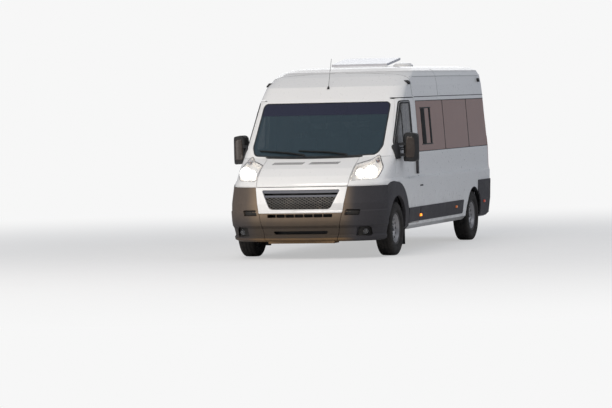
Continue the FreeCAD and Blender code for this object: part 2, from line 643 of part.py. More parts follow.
def make_wheels():
    """Tyres, wheels with their brake discs, for four corners, and the spare under the floor."""
    half_width = size("tyre_width") / 2
    radius = size("tyre_radius")
    rim = size("rim_radius")
    bore = rim - 22
    tyre = [(bore + 1, -68), (rim + 1, -80), (rim + 10, -92), (radius - 62, -half_width),
            (radius - 8, -half_width + 18), (radius, -half_width + 38), (radius, half_width - 38),
            (radius - 8, half_width - 18), (radius - 62, half_width), (rim + 10, 92), (rim + 1, 80), (bore + 1, 68)]
    hub_bore = size("spindle_radius") + size("spindle_gap")
    # The rim barrel, the dished disc, the brake disc and the hub as one turned profile (radius, y outward).
    profile = [(hub_bore, -100), (150, -100), (150, -86), (72, -86), (72, -20), (105, 6), (135, 30), (bore - 14, 12),
               (bore - 14, -78), (rim, -88), (rim, -82), (bore, -70), (bore, 70), (rim, 82), (rim, 88),
               (bore - 12, 78), (150, 46), (120, 44), (92, 22), (72, 34), (50, 40), (0, 40), (0, 0), (hub_bore, 0)]
    corners = [("front_left", AXLE_FRONT, size("track_half_front"), 1), ("front_right", AXLE_FRONT,
               -size("track_half_front"), -1), ("rear_left", AXLE_REAR, size("track_half_rear"), 1),
               ("rear_right", AXLE_REAR, -size("track_half_rear"), -1)]
    for name, x, y, side in corners:
        node("tyre_" + name, revolved("tyre_" + name, tyre, (x, y, HUB)))
        outward = [(r, w * side) for r, w in profile]
        body = revolved("wheel_" + name, outward, (x, y, HUB))
        add_vent_holes(body, name, side)
        node("wheel_" + name, body)
    spare = revolved("spare_wheel", tyre[:-1] + [(bore + 1, 68), (0, 30), (0, -30)], (0, 0, 0))
    spare.Placement = Placement(Vector(-2500, 0, 376), Rotation(Vector(1, 0, 0), 90))
    node("spare_wheel", spare)


def add_vent_holes(body, name, side):
    """Six tapered windows round the wheel disc."""
    sketch = body.newObject("Sketcher::SketchObject", f"window_{name}")
    sketch.AttachmentSupport = [(origin_plane(body, "XZ_Plane"), "")]
    sketch.MapMode = "FlatFace"
    outline = [(-24, 108, 6), (24, 108, 6), (34, 148, 8), (-34, 148, 8)]
    for edge in rounded(outline).Edges:
        ends = [v.Point for v in edge.Vertexes]
        if isinstance(edge.Curve, Part.Circle):
            middle = edge.valueAt((edge.FirstParameter + edge.LastParameter) / 2)
            sketch.addGeometry(Part.Arc(ends[0], middle, ends[1]), False)
        else:
            sketch.addGeometry(Part.LineSegment(ends[0], ends[1]), False)
    pocket = body.newObject("PartDesign::Pocket", f"window_cut_{name}")
    pocket.Profile = sketch
    pocket.Type = 0
    pocket.Length = 80
    pocket.Reversed = side > 0
    pattern = body.newObject("PartDesign::PolarPattern", f"window_ring_{name}")
    pattern.Originals = [pocket]
    pattern.Axis = (sketch, ["N_Axis"])
    pattern.Angle = 360
    pattern.Occurrences = 6
    body.Tip = pattern


def primitive(kind, name, sizes, base=("0", "0", "0"), turn=None):
    """A Part primitive whose sizes and place are bound to the sheet."""
    item = doc.addObject(kind, name)
    for key, text in sizes.items():
        item.setExpression(key, text)
    if turn is not None:
        item.Placement = Placement(Vector(0, 0, 0), turn)
    for axis, text in zip("xyz", base):
        item.setExpression(f"Placement.Base.{axis}", text)
    return item


def fused(label, parts):
    """Several primitives joined as one node."""
    item = doc.addObject("Part::MultiFuse", label + "_fuse")
    item.Shapes = parts
    return node(label, item)


AXLE_FRONT_TEXT = "(Sizes.overall_length / 2 - Sizes.front_overhang)"
AXLE_REAR_TEXT = "(Sizes.overall_length / 2 - Sizes.front_overhang - Sizes.wheelbase)"
ALONG_Y = Rotation(Vector(1, 0, 0), -90)
ALONG_X = Rotation(Vector(0, 1, 0), 90)


def make_running_gear():
    """Front crossmember with its arms, steered knuckles, rear beam axle and leaf springs."""
    cross = primitive("Part::Box", "crossmember", {"Length": "340", "Width": "800", "Height": "80"},
                      (AXLE_FRONT_TEXT + " - 200", "-400", "200"))
    arms = [primitive("Part::Box", f"arm_{name}", {"Length": "80", "Width": "270", "Height": "36"},
                      (AXLE_FRONT_TEXT + " - 40", y, "206")) for name, y in (("left", "395"), ("right", "-665"))]
    fused("front_subframe", [cross] + arms)
    for name, side in (("left", 1), ("right", -1)):
        y = f"{side} * Sizes.kingpin_half"
        post = primitive("Part::Cylinder", f"post_{name}", {"Radius": "34", "Height": "560"},
                         (AXLE_FRONT_TEXT, y, "212"))
        low = "Sizes.kingpin_half" if side > 0 else "-Sizes.kingpin_half - 150"
        spindle = primitive("Part::Cylinder", f"spindle_{name}", {"Radius": "Sizes.spindle_radius", "Height": "150"},
                            (AXLE_FRONT_TEXT, low, "Sizes.tyre_radius"), ALONG_Y)
        fused("knuckle_" + name, [post, spindle])
    beam = primitive("Part::Cylinder", "beam", {"Radius": "42", "Height": "2 * Sizes.track_half_rear - 240"},
                     (AXLE_REAR_TEXT, "-Sizes.track_half_rear + 120", "Sizes.tyre_radius"), ALONG_Y)
    stub = primitive("Part::Cylinder", "stub", {"Radius": "Sizes.spindle_radius",
                                                "Height": "2 * Sizes.track_half_rear - 80"},
                     (AXLE_REAR_TEXT, "-Sizes.track_half_rear + 40", "Sizes.tyre_radius"), ALONG_Y)
    springs = [leaf_spring("left", 520), leaf_spring("right", -580)]
    fused("rear_axle", [beam, stub] + springs)


def leaf_spring(name, y):
    """A single long leaf, bowed down in the middle where the axle sits on it."""
    rise, depth, half = 120, 22, 640
    body = doc.addObject("PartDesign::Body", f"leaf_{name}_body")
    sketch = body.newObject("Sketcher::SketchObject", f"leaf_{name}_sketch")
    sketch.AttachmentSupport = [(origin_plane(body, "XZ_Plane"), "")]
    sketch.MapMode = "FlatFace"
    low = HUB - 60
    ends = [Vector(-half, low + rise, 0), Vector(half, low + rise, 0)]
    lower = [Vector(half, low + rise - depth, 0), Vector(-half, low + rise - depth, 0)]
    sketch.addGeometry(Part.Arc(ends[0], Vector(0, low + depth, 0), ends[1]), False)
    sketch.addGeometry(Part.LineSegment(ends[1], lower[0]), False)
    sketch.addGeometry(Part.Arc(lower[0], Vector(0, low, 0), lower[1]), False)
    sketch.addGeometry(Part.LineSegment(lower[1], ends[0]), False)
    pad = body.newObject("PartDesign::Pad", f"leaf_{name}_pad")
    pad.Profile = sketch
    pad.Length = 60
    pad.Reversed = True
    body.Placement = Placement(Vector(AXLE_REAR, y, 0), Rotation())
    return body


def make_under_floor():
    """Floor with wheel notches, wheel housings, engine, radiator, tank and exhaust."""
    half = size("floor_half")
    notch = 600
    rear_low, rear_high = AXLE_REAR - 415, AXLE_REAR + 415
    outline = [(-2870, -half), (rear_low, -half), (rear_low, -notch), (rear_high, -notch), (rear_high, -half),
               (1575, -half), (1575, -545), (1990, -545), (1990, 545), (1575, 545), (1575, half), (rear_high, half),
               (rear_high, notch), (rear_low, notch), (rear_low, half), (-2870, half)]
    body = doc.addObject("PartDesign::Body", "floor_body")
    sketch = sketch_polygon(body, "floor_sketch", "XY_Plane", outline)
    pad = body.newObject("PartDesign::Pad", "floor_pad")
    pad.Profile = sketch
    pad.setExpression("Length", "Sizes.floor_thick")
    body.setExpression("Placement.Base.z", "Sizes.floor_top - Sizes.floor_thick")
    node("floor", body)

    housings = []
    for x, radius, inner, outer, low in ((AXLE_FRONT, size("housing_radius_front"), 552, 945, 330),
                                         (AXLE_REAR, size("housing_radius_rear"), 608, 932, 356)):
        drum = axle_disc(x, radius + 8, inner, outer).cut(axle_disc(x, radius, inner + 8, outer + 50))
        drum = drum.common(slab((-FAR, FAR), (0, FAR), (low, FAR)))
        housings.append(drum.cut(slab((AXLE_REAR - 70, AXLE_REAR + 70), (590, 630), (0, 432))))
    feature("wheel_housings", both(Part.makeCompound(housings)))

    wall = [(-545, 505), (545, 505), (545, 820), (850, 820), (850, 1215), (-850, 1215), (-850, 820),
            (-545, 820)]
    feature("firewall", front_prism(wall, 1995, 2015))

    node("engine", primitive("Part::Box", "engine_block", {"Length": "Sizes.engine_length",
                                                           "Width": "Sizes.engine_width",
                                                           "Height": "Sizes.engine_height"},
                             (AXLE_FRONT_TEXT + " + 70", "-Sizes.engine_width / 2", "Sizes.sill_low + 60")))
    node("radiator", primitive("Part::Box", "radiator_core", {"Length": "70", "Width": "760", "Height": "520"},
                               ("Sizes.overall_length / 2 - 220", "-380", "Sizes.sill_low + 20")))
    tank = primitive("Part::Box", "tank_box", {"Length": "950", "Width": "520", "Height": "210"},
                     ("-200", "180", "Sizes.floor_top - Sizes.floor_thick - 214"))
    doc.recompute()
    soft = doc.addObject("Part::Fillet", "tank_fillet")
    soft.Base = tank
    soft.Edges = [(i + 1, 40, 40) for i in range(12)]
    node("fuel_tank", soft)
    pipe = primitive("Part::Cylinder", "pipe", {"Radius": "28", "Height": "3200"}, ("-1550", "-330", "330"),
                     ALONG_X)
    silencer = primitive("Part::Cylinder", "silencer", {"Radius": "95", "Height": "700"}, ("-900", "-330", "330"),
                         ALONG_X)
    fused("exhaust", [pipe, silencer])


def make_roof_fittings():
    """Roof hatch frame and lid, ventilator, aerial and marker lamps."""
    front, length, half = size("hatch_front"), size("hatch_length"), size("hatch_half")
    frame = slab((front - length, front), (-half, half), (2356, 2407))
    frame = frame.cut(slab((front - length + 22, front - 22), (22 - half, half - 22), (2300, 2600)))
    feature("hatch_frame", frame)
    thick = size("lid_thick")
    lid = slab((-length - 44, 0), (-half - 22, half + 22), (0, thick))
    lid.Placement = Placement(Vector(front + 22, 0, size("lid_height")), Rotation(ACROSS, size("hatch_open")))
    feature("hatch_lid", lid)
    radius, height = size("vent_radius"), size("vent_height")
    profile = [(0, 0), (radius, 0), (radius, height * 0.4), (radius * 0.8, height * 0.8), (0, height)]
    vent = revolved("roof_vent", profile, (0, 0, 0))
    vent.Placement = Placement(Vector(-2160, 0, 2407), Rotation(Vector(1, 0, 0), 90))
    node("roof_vent", vent)
    aerial = Part.makeCone(20, 9, 42).fuse(Part.makeCylinder(2.6, 400, Vector(0, 0, 30)))
    aerial.Placement = Placement(Vector(1462, -30, 2120), Rotation(ACROSS, -24))
    feature("aerial", aerial.cut(hull(BODY_SECTIONS, -0.5)))
    lenses = [axle_disc(x, 27, 700, 1200, z) for x, z in ((1110, 2190), (-2630, 2204))]
    lenses = [shell(BODY_SECTIONS, -30.0, -0.5).common(lens) for lens in lenses]
    feature("marker_lamps", both(Part.makeCompound([solid for lens in lenses for solid in lens.Solids])))


def plan_prism(points, low, high):
    """Plan-view outline (x, y), raised from z = low to z = high."""
    face = Part.Face(rounded(points))
    face.Placement = Placement(Vector(0, 0, low), Rotation())
    return face.extrude(Vector(0, 0, high - low))


def make_mirrors():
    """Door mirrors: a base plate on the door skin, two arms swept back and a tall head."""
    plate = side_prism([(2046, 1218, 30), (2040, 1385, 50), (1900, 1436, 40), (1840, 1224, 30)], 900)
    plate = shell(BODY_SECTIONS, -18.0, -1.0).common(plate)
    arms = [plan_prism([(1965, 930), (1890, 930), (1735, 1070), (1735, 1125), (1800, 1130)], z, z + 36)
            .cut(hull(BODY_SECTIONS, -1.0)) for z in (1250, 1388)]
    head = plan_prism([(1662, 1036, 20), (1662, 1215, 30), (1735, 1240, 40), (1832, 1200, 60), (1832, 1070, 50),
                       (1745, 1030, 30)], 1150, 1600)
    outline = [(1030, 1186, 40), (1225, 1176, 50), (1240, 1350, 60), (1232, 1530, 60), (1062, 1560, 55)]
    head = head.common(front_prism(outline, 1600, 1900))
    mirror_left = plate.multiFuse(arms + [head])
    feature("mirror_left", mirror_left)
    feature("mirror_right", mirror(mirror_left))


def make_cabin():
    """Dashboard, steering wheel and seats."""
    dash = side_prism([(1970, 1000, 40), (1970, 1228, 20), (1780, 1250, 40), (1640, 1190, 50), (1700, 900, 60),
                       (1850, 860, 40)], -840, 840)
    feature("dashboard", dash)
    radius = size("steering_wheel_radius")
    turns = [math.radians(60 * step) for step in range(6)]
    section = [Vector(radius + 15 * math.cos(turn), 0, 15 * math.sin(turn)) for turn in turns]
    rim = Part.Face(Part.makePolygon(section + section[:1])).revolve(MIDDLE, Vector(0, 0, 1), 360)
    hub = Part.makeCylinder(52, 34, Vector(0, 0, -12))
    spokes = [slab((-190, 190), (-16, 16), (-8, 8)), slab((-16, 16), (-190, 0), (-8, 8))]
    column = Part.makeCylinder(24, 230, Vector(0, 0, -240))
    wheel = rim.multiFuse([hub, column] + spokes)
    wheel.Placement = Placement(Vector(1560, 430, 1180), Rotation(ACROSS, -62))
    feature("steering_wheel", wheel.cut(dash.copy()))

    cushions, frames = [], []
    for y, width in ((430, 500), (-350, 900)):
        add_seat(cushions, frames, size("seat_driver"), y, width, 900, 620)
    feature("front_seats", Part.makeCompound(cushions))
    pads = []
    for index in range(4):
        x = size("seat_row_front") - index * size("seat_pitch")
        places = ((640, 2), (-660, 1)) if index < 3 else ((670, 2), (-670, 2))
        for y, count in places:
            width = size("seat_width") * count
            middle = y if count == 1 else y - math.copysign(width / 2 - 220, y)
            add_seat(pads, frames, x, middle, width, 960, 660)
    feature("passenger_seats", Part.makeCompound(pads))
    feature("seat_frames", Part.makeCompound(frames))


def seat_places(y, width):
    """The middle of each place on a seat of this width."""
    count = round(width / 450)
    return [y + (index - (count - 1) / 2) * width / count for index in range(count)]


def add_seat(cushions, frames, x, y, width, height, back):
    """One cushion and backrest with a pedestal below, centred at (x, y).

    The cushion's underside is at height, and the backrest's top is back above it.
    """
    floor, half = size("floor_top"), width / 2
    depth, seat_top = size("cushion_depth") / 2, height + size("cushion_thick")
    cushion = slab((x - depth, x + depth), (y - half, y + half), (height, seat_top))
    rest = side_prism([(x - 240, seat_top + 2), (x - 130, seat_top + 2), (x - 210, height + back),
                       (x - 300, height + back)], y - half, y + half)
    cushions.extend([cushion, rest])
    left, right = max(y - half + 60, -590), min(y + half - 60, 590)
    frames.append(slab((x - 180, x + 160), (left, right), (floor, height)))
    for place in seat_places(y, width):
        head = size("headrest_half")
        cushions.append(slab((x - 318, x - 232), (place - head, place + head),
                             (height + back + 30, height + back + 190)))


def make_wipers():
    """Two wiper arms resting at the foot of the windscreen."""
    arms = []
    layer = shell(BODY_SECTIONS, -26.0, -14.0)
    for foot, tip in ((430, -170), (-120, -720)):
        strip = front_prism([(foot, 1278), (foot, 1292), (tip, 1342), (tip, 1330)], 1900, 2500)
        arms.append(layer.common(strip))
    feature("wipers", Part.makeCompound([s for arm in arms for s in arm.Solids]))


make_glazing()
make_roof()
make_screen_frame()
make_side_panel()
make_front_doors()
make_rear_doors()
make_front_end()
make_cladding()
make_rear_end()
make_wheels()
make_running_gear()
make_under_floor()
make_roof_fittings()
make_mirrors()
make_cabin()
make_wipers()

doc.recompute()
for item in doc.Objects:
    if "Invalid" in item.State or "Error" in item.State:
        raise RuntimeError(f"{item.Name} is {item.State}")
os.makedirs("parts", exist_ok=True)
for label, item in nodes.items():
    shape = item.Shape
    if shape.isNull() or not shape.isValid() or shape.Volume < 1:
        raise RuntimeError(f"{label} has no valid shape")
    shape.exportStep(f"parts/{label}.step")
    print(label, len(shape.Solids), len(shape.Faces), round(shape.Volume / 1e6, 2))
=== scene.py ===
import json
from math import atan2, cos, pi, radians, sin, tan

import bmesh
import bpy
from mathutils import Matrix, Vector
from mathutils.bvhtree import BVHTree


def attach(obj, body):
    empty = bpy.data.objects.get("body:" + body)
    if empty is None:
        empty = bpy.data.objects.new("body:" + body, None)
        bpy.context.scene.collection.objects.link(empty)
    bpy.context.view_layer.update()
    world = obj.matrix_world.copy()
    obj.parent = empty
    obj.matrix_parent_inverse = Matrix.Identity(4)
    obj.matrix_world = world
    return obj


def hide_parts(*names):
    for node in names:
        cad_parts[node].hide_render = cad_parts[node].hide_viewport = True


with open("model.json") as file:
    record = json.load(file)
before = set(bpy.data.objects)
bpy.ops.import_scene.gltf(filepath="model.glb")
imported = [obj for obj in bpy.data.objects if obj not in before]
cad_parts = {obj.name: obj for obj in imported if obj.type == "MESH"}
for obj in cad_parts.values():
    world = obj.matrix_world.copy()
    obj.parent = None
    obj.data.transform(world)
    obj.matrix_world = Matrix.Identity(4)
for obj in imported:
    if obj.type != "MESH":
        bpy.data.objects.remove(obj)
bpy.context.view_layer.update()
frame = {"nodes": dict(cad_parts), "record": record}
scene = bpy.context.scene

# Camera: a fit to points on the body in the photograph
PICTURE_WIDTH = 612
FOCAL_PIXELS = 3457.8
SENSOR_WIDTH = 36
VIEW_END = 500
YAW, PITCH, ROLL = (radians(v) for v in (196.748, 1.913, -1.309))
CAMERA_AT = Vector((44.322, 12.533, 2.139))

# Stage
FLOOR_REACH = 220
FADE_FROM, FADE_TO, NEAR_WHITE = 3.5, 15, 0.5
BACKGROUND = (0.93, 0.93, 0.93)
SKY, SKY_STRENGTH = (0.82, 0.88, 1), 0.34
LAMPS_AIM = Vector((0, 0, 1.2))
# name, place, width, power and colour of each lamp
LAMPS = [("key", (13, -1, 11), 8, 1200, (1, 0.935, 0.87)),
         ("fill", (12, -9, 4), 9, 480, (1, 0.96, 0.92)),
         ("side", (-1, 11, 8), 9, 250, (0.9, 0.93, 1)),
         ("back", (-13, -3, 4), 8, 220, (1, 1, 1))]

# Places on the body that materials change at, in metres
AXLE_MIDDLE, AXLE_SPREAD, HUB = 0.0335, 2.0175, 0.341
ARCH_EDGE = 0.3962
ROAD_DUST = (0.95, 0.25)
ROOF_DUST = (2.3, 2.37)
WAIST = (0.95, 0.985)
SIDE_FROM = (0.8, 0.95)
BONNET_FROM = (1.85, 1.45)
SUN_STRIP = (1.783, 1.797)
DISC_FACE = (0.922, 0.914)
RIM_EDGE = (0.172, 0.182)
GRILLE_BARS = (0.774, 0.78)
# Bumper film, partly road dust and partly painted warm light: where it fades at the corners, a painted shade,
# and where it turns darker towards the bottom
DUST_AND_LIGHT_LEFT, DUST_AND_LIGHT_RIGHT = (0.72, 0.5), (-0.74, -0.56)
FILM_DARKER_LOW = (0.62, 0.38)
TRAY_EDGE = (0.272, 0.264)

# Colours that recur
WHITE = (0.84, 0.835, 0.815)
PALE_DUST = (0.42, 0.38, 0.33)
# Painted shade on the edges of the wheel arches
ARCH_SHADE_BLACK = (0.012, 0.012, 0.012)


def add_camera():
    """The camera at the photograph's angle: position, aim and roll from a fit to points on the body."""
    forward = Vector((cos(YAW) * cos(PITCH), sin(YAW) * cos(PITCH), -sin(PITCH)))
    right = Vector((sin(YAW), -cos(YAW), 0))
    up = right.cross(forward)
    across = right * cos(ROLL) + up * sin(ROLL)
    upright = up * cos(ROLL) - right * sin(ROLL)
    lens_length = FOCAL_PIXELS / PICTURE_WIDTH * SENSOR_WIDTH
    data = bpy.data.cameras.new("camera")
    assign(data, sensor_width=SENSOR_WIDTH, lens=lens_length, clip_end=VIEW_END)
    scene.camera = add_object("camera", data)
    rows = [(across[i], upright[i], -forward[i], CAMERA_AT[i]) for i in range(3)]
    scene.camera.matrix_world = Matrix(rows + [(0, 0, 0, 1)])


def add_object(name, data):
    obj = bpy.data.objects.new(name, data)
    scene.collection.objects.link(obj)
    return obj


def assign(thing, **settings):
    for key, value in settings.items():
        setattr(thing, key, value)
    return thing


class Nodes:
    """A material or world, with short names for building its nodes."""

    def __init__(self, owner, shader="Principled BSDF"):
        self.owner = owner
        owner.use_nodes = True
        self.tree = owner.node_tree
        self.shader = self.tree.nodes[shader]

    def feed(self, socket, value):
        """A link where value is another socket, otherwise a constant: a number or a colour."""
        if isinstance(value, bpy.types.NodeSocket):
            self.tree.links.new(value, socket)
        elif isinstance(value, (int, float)):
            socket.default_value = value
        else:
            socket.default_value = (*value, 1)

    def add(self, kind, feeds, **settings):
        node = assign(self.tree.nodes.new(kind), **settings)
        for key, value in feeds.items():
            self.feed(node.inputs[key], value)
        return node

    def place(self):
        return self.add("ShaderNodeTexCoord", {}).outputs["Object"]

    def axis(self, index):
        return self.add("ShaderNodeSeparateXYZ", {0: self.place()}).outputs[index]

    def aside(self):
        """The distance from the middle plane."""
        return self.math("ABSOLUTE", self.axis(1))

    def noise(self, scale, detail=4, rough=0.55):
        feeds = {"Scale": scale, "Detail": detail, "Roughness": rough, "Vector": self.place()}
        return self.add("ShaderNodeTexNoise", feeds).outputs["Fac"]

    def wave(self, direction, scale, distortion=0):
        feeds = {"Scale": scale, "Distortion": distortion, "Vector": self.place()}
        return self.add("ShaderNodeTexWave", feeds, bands_direction=direction).outputs["Fac"]

    def math(self, operation, a, b=0, clamp=False):
        return self.add("ShaderNodeMath", {0: a, 1: b}, operation=operation, use_clamp=clamp).outputs["Value"]

    def times(self, a, b):
        return self.math("MULTIPLY", a, b)

    def minus(self, a, b):
        return self.math("SUBTRACT", a, b)

    def length(self, a, b):
        return self.math("SQRT", self.math("ADD", self.times(a, a), self.times(b, b)))

    def spread(self, value, low, high, to_low=0, to_high=1):
        """A soft step from to_low to to_high while value goes from low to high."""
        feeds = {"From Min": low, "From Max": high, "To Min": to_low, "To Max": to_high, "Value": value}
        return self.add("ShaderNodeMapRange", feeds, interpolation_type="SMOOTHSTEP").outputs["Result"]

    def along(self, index, low, high, to_low=0, to_high=1):
        return self.spread(self.axis(index), low, high, to_low, to_high)

    def patches(self, scale, detail, rough, low, high, share=None):
        """Patches from 0 to 1, or to share."""
        spots = self.spread(self.noise(scale, detail, rough), low, high)
        return self.times(spots, share) if share else spots

    def ramp(self, value, low, high, dark, light):
        """A colour from dark to light while value goes from low to high."""
        node = self.add("ShaderNodeValToRGB", {"Fac": value})
        for point, at, colour in zip(node.color_ramp.elements, (low, high), (dark, light)):
            point.position = at
            point.color = (*colour, 1)
        return node.outputs["Color"]

    def speckled(self, value, colour, darker, lighter=1, low=0.3, high=0.7):
        """A colour made darker and lighter by value."""
        return self.ramp(value, low, high, tinted(colour, darker), tinted(colour, lighter))

    def mix(self, factor, a, b):
        node = self.add("ShaderNodeMix", {}, data_type="RGBA")
        for socket, value in zip([s for s in node.inputs if s.enabled], (factor, a, b)):
            self.feed(socket, value)
        return next(s for s in node.outputs if s.enabled)

    def bump(self, height, strength, distance):
        node = self.add("ShaderNodeBump", {"Strength": strength, "Distance": distance, "Height": height})
        self.feed(self.shader.inputs["Normal"], node.outputs["Normal"])
        return node

    def set(self, **values):
        for key, value in values.items():
            self.feed(self.shader.inputs[key.replace("_", " ")], value)

    def rough(self, scale, detail, low, high):
        """Roughness from low to high in patches."""
        self.set(Roughness=self.spread(self.noise(scale, detail), 0.2, 0.8, low, high))

    def show(self, seen, output, cover=None):
        """Camera rays see the second shader, as far as cover is 1, and all other rays see the lit one."""
        ray = self.add("ShaderNodeLightPath", {}).outputs["Is Camera Ray"]
        factor = ray if cover is None else self.times(cover, ray)
        blend = self.add("ShaderNodeMixShader", {0: factor, 1: self.shader.outputs[0], 2: seen.outputs[0]})
        self.feed(self.tree.nodes[output].inputs["Surface"], blend.outputs[0])


M = {}


def material(build):
    """Makes a function that adds nodes into one that takes a name, and keeps the material under it in M."""
    def make(name, *args, **settings):
        n = Nodes(bpy.data.materials.new(name))
        build(n, *args, **settings)
        M[name] = n.owner

    return make


def tinted(colour, by):
    """A colour made lighter or darker."""
    return tuple(min(1, max(0, c * by)) for c in colour)


def axle_distance(n):
    """How far a place is from the nearer axle, seen from the side."""
    along = n.minus(n.math("ABSOLUTE", n.minus(n.axis(0), AXLE_MIDDLE)), AXLE_SPREAD)
    return n.length(along, n.minus(n.axis(2), HUB))


@material
def paint(n, colour, arch_shade=False, settled=0):
    """Gloss car paint with faint orange peel, road dust towards the ground and a waist line on the sides.

    arch_shade blackens the edges of the wheel arches, a painted shade, and settled is the share of dust that
    lies on the crown of the roof."""
    clean = n.speckled(n.noise(1.6, 5, 0.6), colour, 0.975)
    film = n.times(n.times(n.along(2, *ROAD_DUST), n.patches(7, 8, 0.65, 0.3, 0.75)), 0.5)
    if settled:
        film = n.math("MAXIMUM", film, n.times(n.along(2, *ROOF_DUST), settled))
    base = n.mix(film, clean, PALE_DUST)
    # Painted shade: the edges of the wheel arches are painted black
    if arch_shade:
        base = n.mix(n.math("LESS_THAN", axle_distance(n), ARCH_EDGE), base, ARCH_SHADE_BLACK)
    n.set(Base_Color=base, Coat_Weight=0.6, Coat_Roughness=0.06, Specular_IOR_Level=0.5)
    n.rough(30, 3, 0.26, 0.36)
    side = n.times(n.spread(n.aside(), *SIDE_FROM), n.along(0, *BONNET_FROM))
    waist = n.bump(n.times(n.along(2, *WAIST, 1, 0), side), 1, 0.018)
    peel = n.bump(n.noise(900, 2), 0.05, 0.0004)
    n.feed(peel.inputs["Normal"], waist.outputs["Normal"])


@material
def grained(n, colour, scale=520, strength=0.35, rough=0.62, dusty=0.25):
    """Moulded plastic: fine leather grain, chalky scuffs and some dust."""
    grain = n.noise(scale, 3, 0.6)
    scuffs = n.patches(5, 9, 0.68, 0.45, 0.8, dusty)
    base = n.speckled(grain, colour, 0.8, 1.15, 0.35, 0.65)
    n.set(Base_Color=n.mix(scuffs, base, (0.3, 0.285, 0.26)), Specular_IOR_Level=0.4)
    n.rough(40, 4, rough - 0.07, rough + 0.08)
    n.bump(grain, strength, 0.0006)


@material
def metal(n, colour, rough, scale=120, metallic=1, darkening=0.3, dark=(0.03, 0.028, 0.025)):
    """Bare or painted metal with brushed or cast texture and grime in patches."""
    patches = n.patches(9, 8, 0.65, 0.45, 0.85)
    texture = n.noise(scale, 4, 0.6)
    base = n.speckled(texture, colour, 0.88, 1.06)
    n.set(Base_Color=n.mix(n.times(patches, darkening), base, dark), Metallic=metallic)
    n.set(Roughness=n.spread(patches, 0, 1, rough, min(rough + 0.3, 0.9)))
    n.bump(texture, 0.15, 0.0005)


@material
def glazing(n, colour, alpha, edge=0.85, shine=0.9, strip=None, glance_reflection=None):
    """Tinted toughened glass: see-through face on, more opaque and mirror-like at a low angle, with a trace
    of dust.

    strip is the colour of a nearly opaque sun strip along the top, and glance_reflection a colour mixed in at
    a low angle, a painted reflection."""
    facing = n.add("ShaderNodeLayerWeight", {"Blend": 0.45}).outputs["Facing"]
    film = n.patches(3, 6, 0.6, 0.4, 0.9, 0.05)
    face = n.math("ADD", n.times(n.math("POWER", facing, 3), edge - alpha), alpha)
    # Painted reflection: at a low angle the colour turns to glance_reflection
    if glance_reflection:
        colour = n.mix(n.math("POWER", facing, 2), colour, glance_reflection)
    if strip:
        high = n.along(2, *SUN_STRIP)
        colour = n.mix(high, colour, strip)
        face = n.math("MAXIMUM", face, n.times(high, 0.97))
    n.set(Base_Color=colour, Alpha=n.math("ADD", face, film, clamp=True), Specular_IOR_Level=shine)
    n.rough(60, 3, 0.02, 0.06)


@material
def rubber(n, colour):
    """Tyre rubber with dusty brown-grey sidewalls."""
    dust = n.patches(14, 9, 0.7, 0.3, 0.8, 0.35)
    base = n.speckled(n.noise(240, 3), colour, 0.8, 1.25)
    n.set(Base_Color=n.mix(dust, base, (0.075, 0.064, 0.054)), Specular_IOR_Level=0.35)
    n.rough(50, 4, 0.68, 0.85)
    n.bump(n.noise(420, 3), 0.3, 0.0006)


@material
def cloth(n, colour, thread):
    """Woven seat cloth: two crossed wave patterns as the weave, with flecks of a lighter thread."""
    weave = n.times(n.wave("X", 260, 1.2), n.wave("Z", 260, 1.2))
    flecks = n.times(n.spread(n.noise(180, 2), 0.62, 0.7), 0.5)
    base = n.speckled(n.noise(6, 5), colour, 0.82, 1.15)
    n.set(Base_Color=n.mix(flecks, base, thread), Roughness=0.92, Sheen_Weight=0.35)
    n.bump(weave, 0.4, 0.0008)


@material
def wheel_paint(n, colour, dark):
    """Silver wheel: bright on the outer face of the disc, painted shade in the well behind it, brake dust on
    the flange, and dark patches.
    """
    # Painted shade: darker in the well, behind the outer face of the disc
    well_shade = n.spread(n.aside(), *DISC_FACE)
    rim = n.times(n.spread(axle_distance(n), *RIM_EDGE), 0.9)
    patches = n.patches(11, 8, 0.65, 0.4, 0.85, 0.35)
    darkening = n.math("MAXIMUM", n.math("MAXIMUM", well_shade, rim), patches)
    texture = n.noise(160, 4)
    base = n.speckled(texture, colour, 0.9, 1.05)
    n.set(Base_Color=n.mix(darkening, base, dark), Metallic=n.spread(darkening, 0.2, 0.8, 0.55, 0))
    n.set(Roughness=n.spread(darkening, 0, 1, 0.32, 0.75))
    n.bump(texture, 0.1, 0.0005)


@material
def grille_plastic(n):
    """Grille moulding: slate-grey broad bars, and a darker mesh below them."""
    bars = n.along(2, *GRILLE_BARS)
    scuffs = n.patches(9, 8, 0.66, 0.45, 0.8, 0.5)
    mesh = n.mix(scuffs, (0.07, 0.064, 0.056), (0.25, 0.215, 0.165))
    grain = n.noise(420, 3)
    face = n.ramp(grain, 0.3, 0.7, (0.085, 0.088, 0.105), (0.11, 0.115, 0.135))
    n.set(Base_Color=n.mix(bars, mesh, face))
    n.rough(60, 3, 0.38, 0.5)
    n.bump(grain, 0.15, 0.0005)


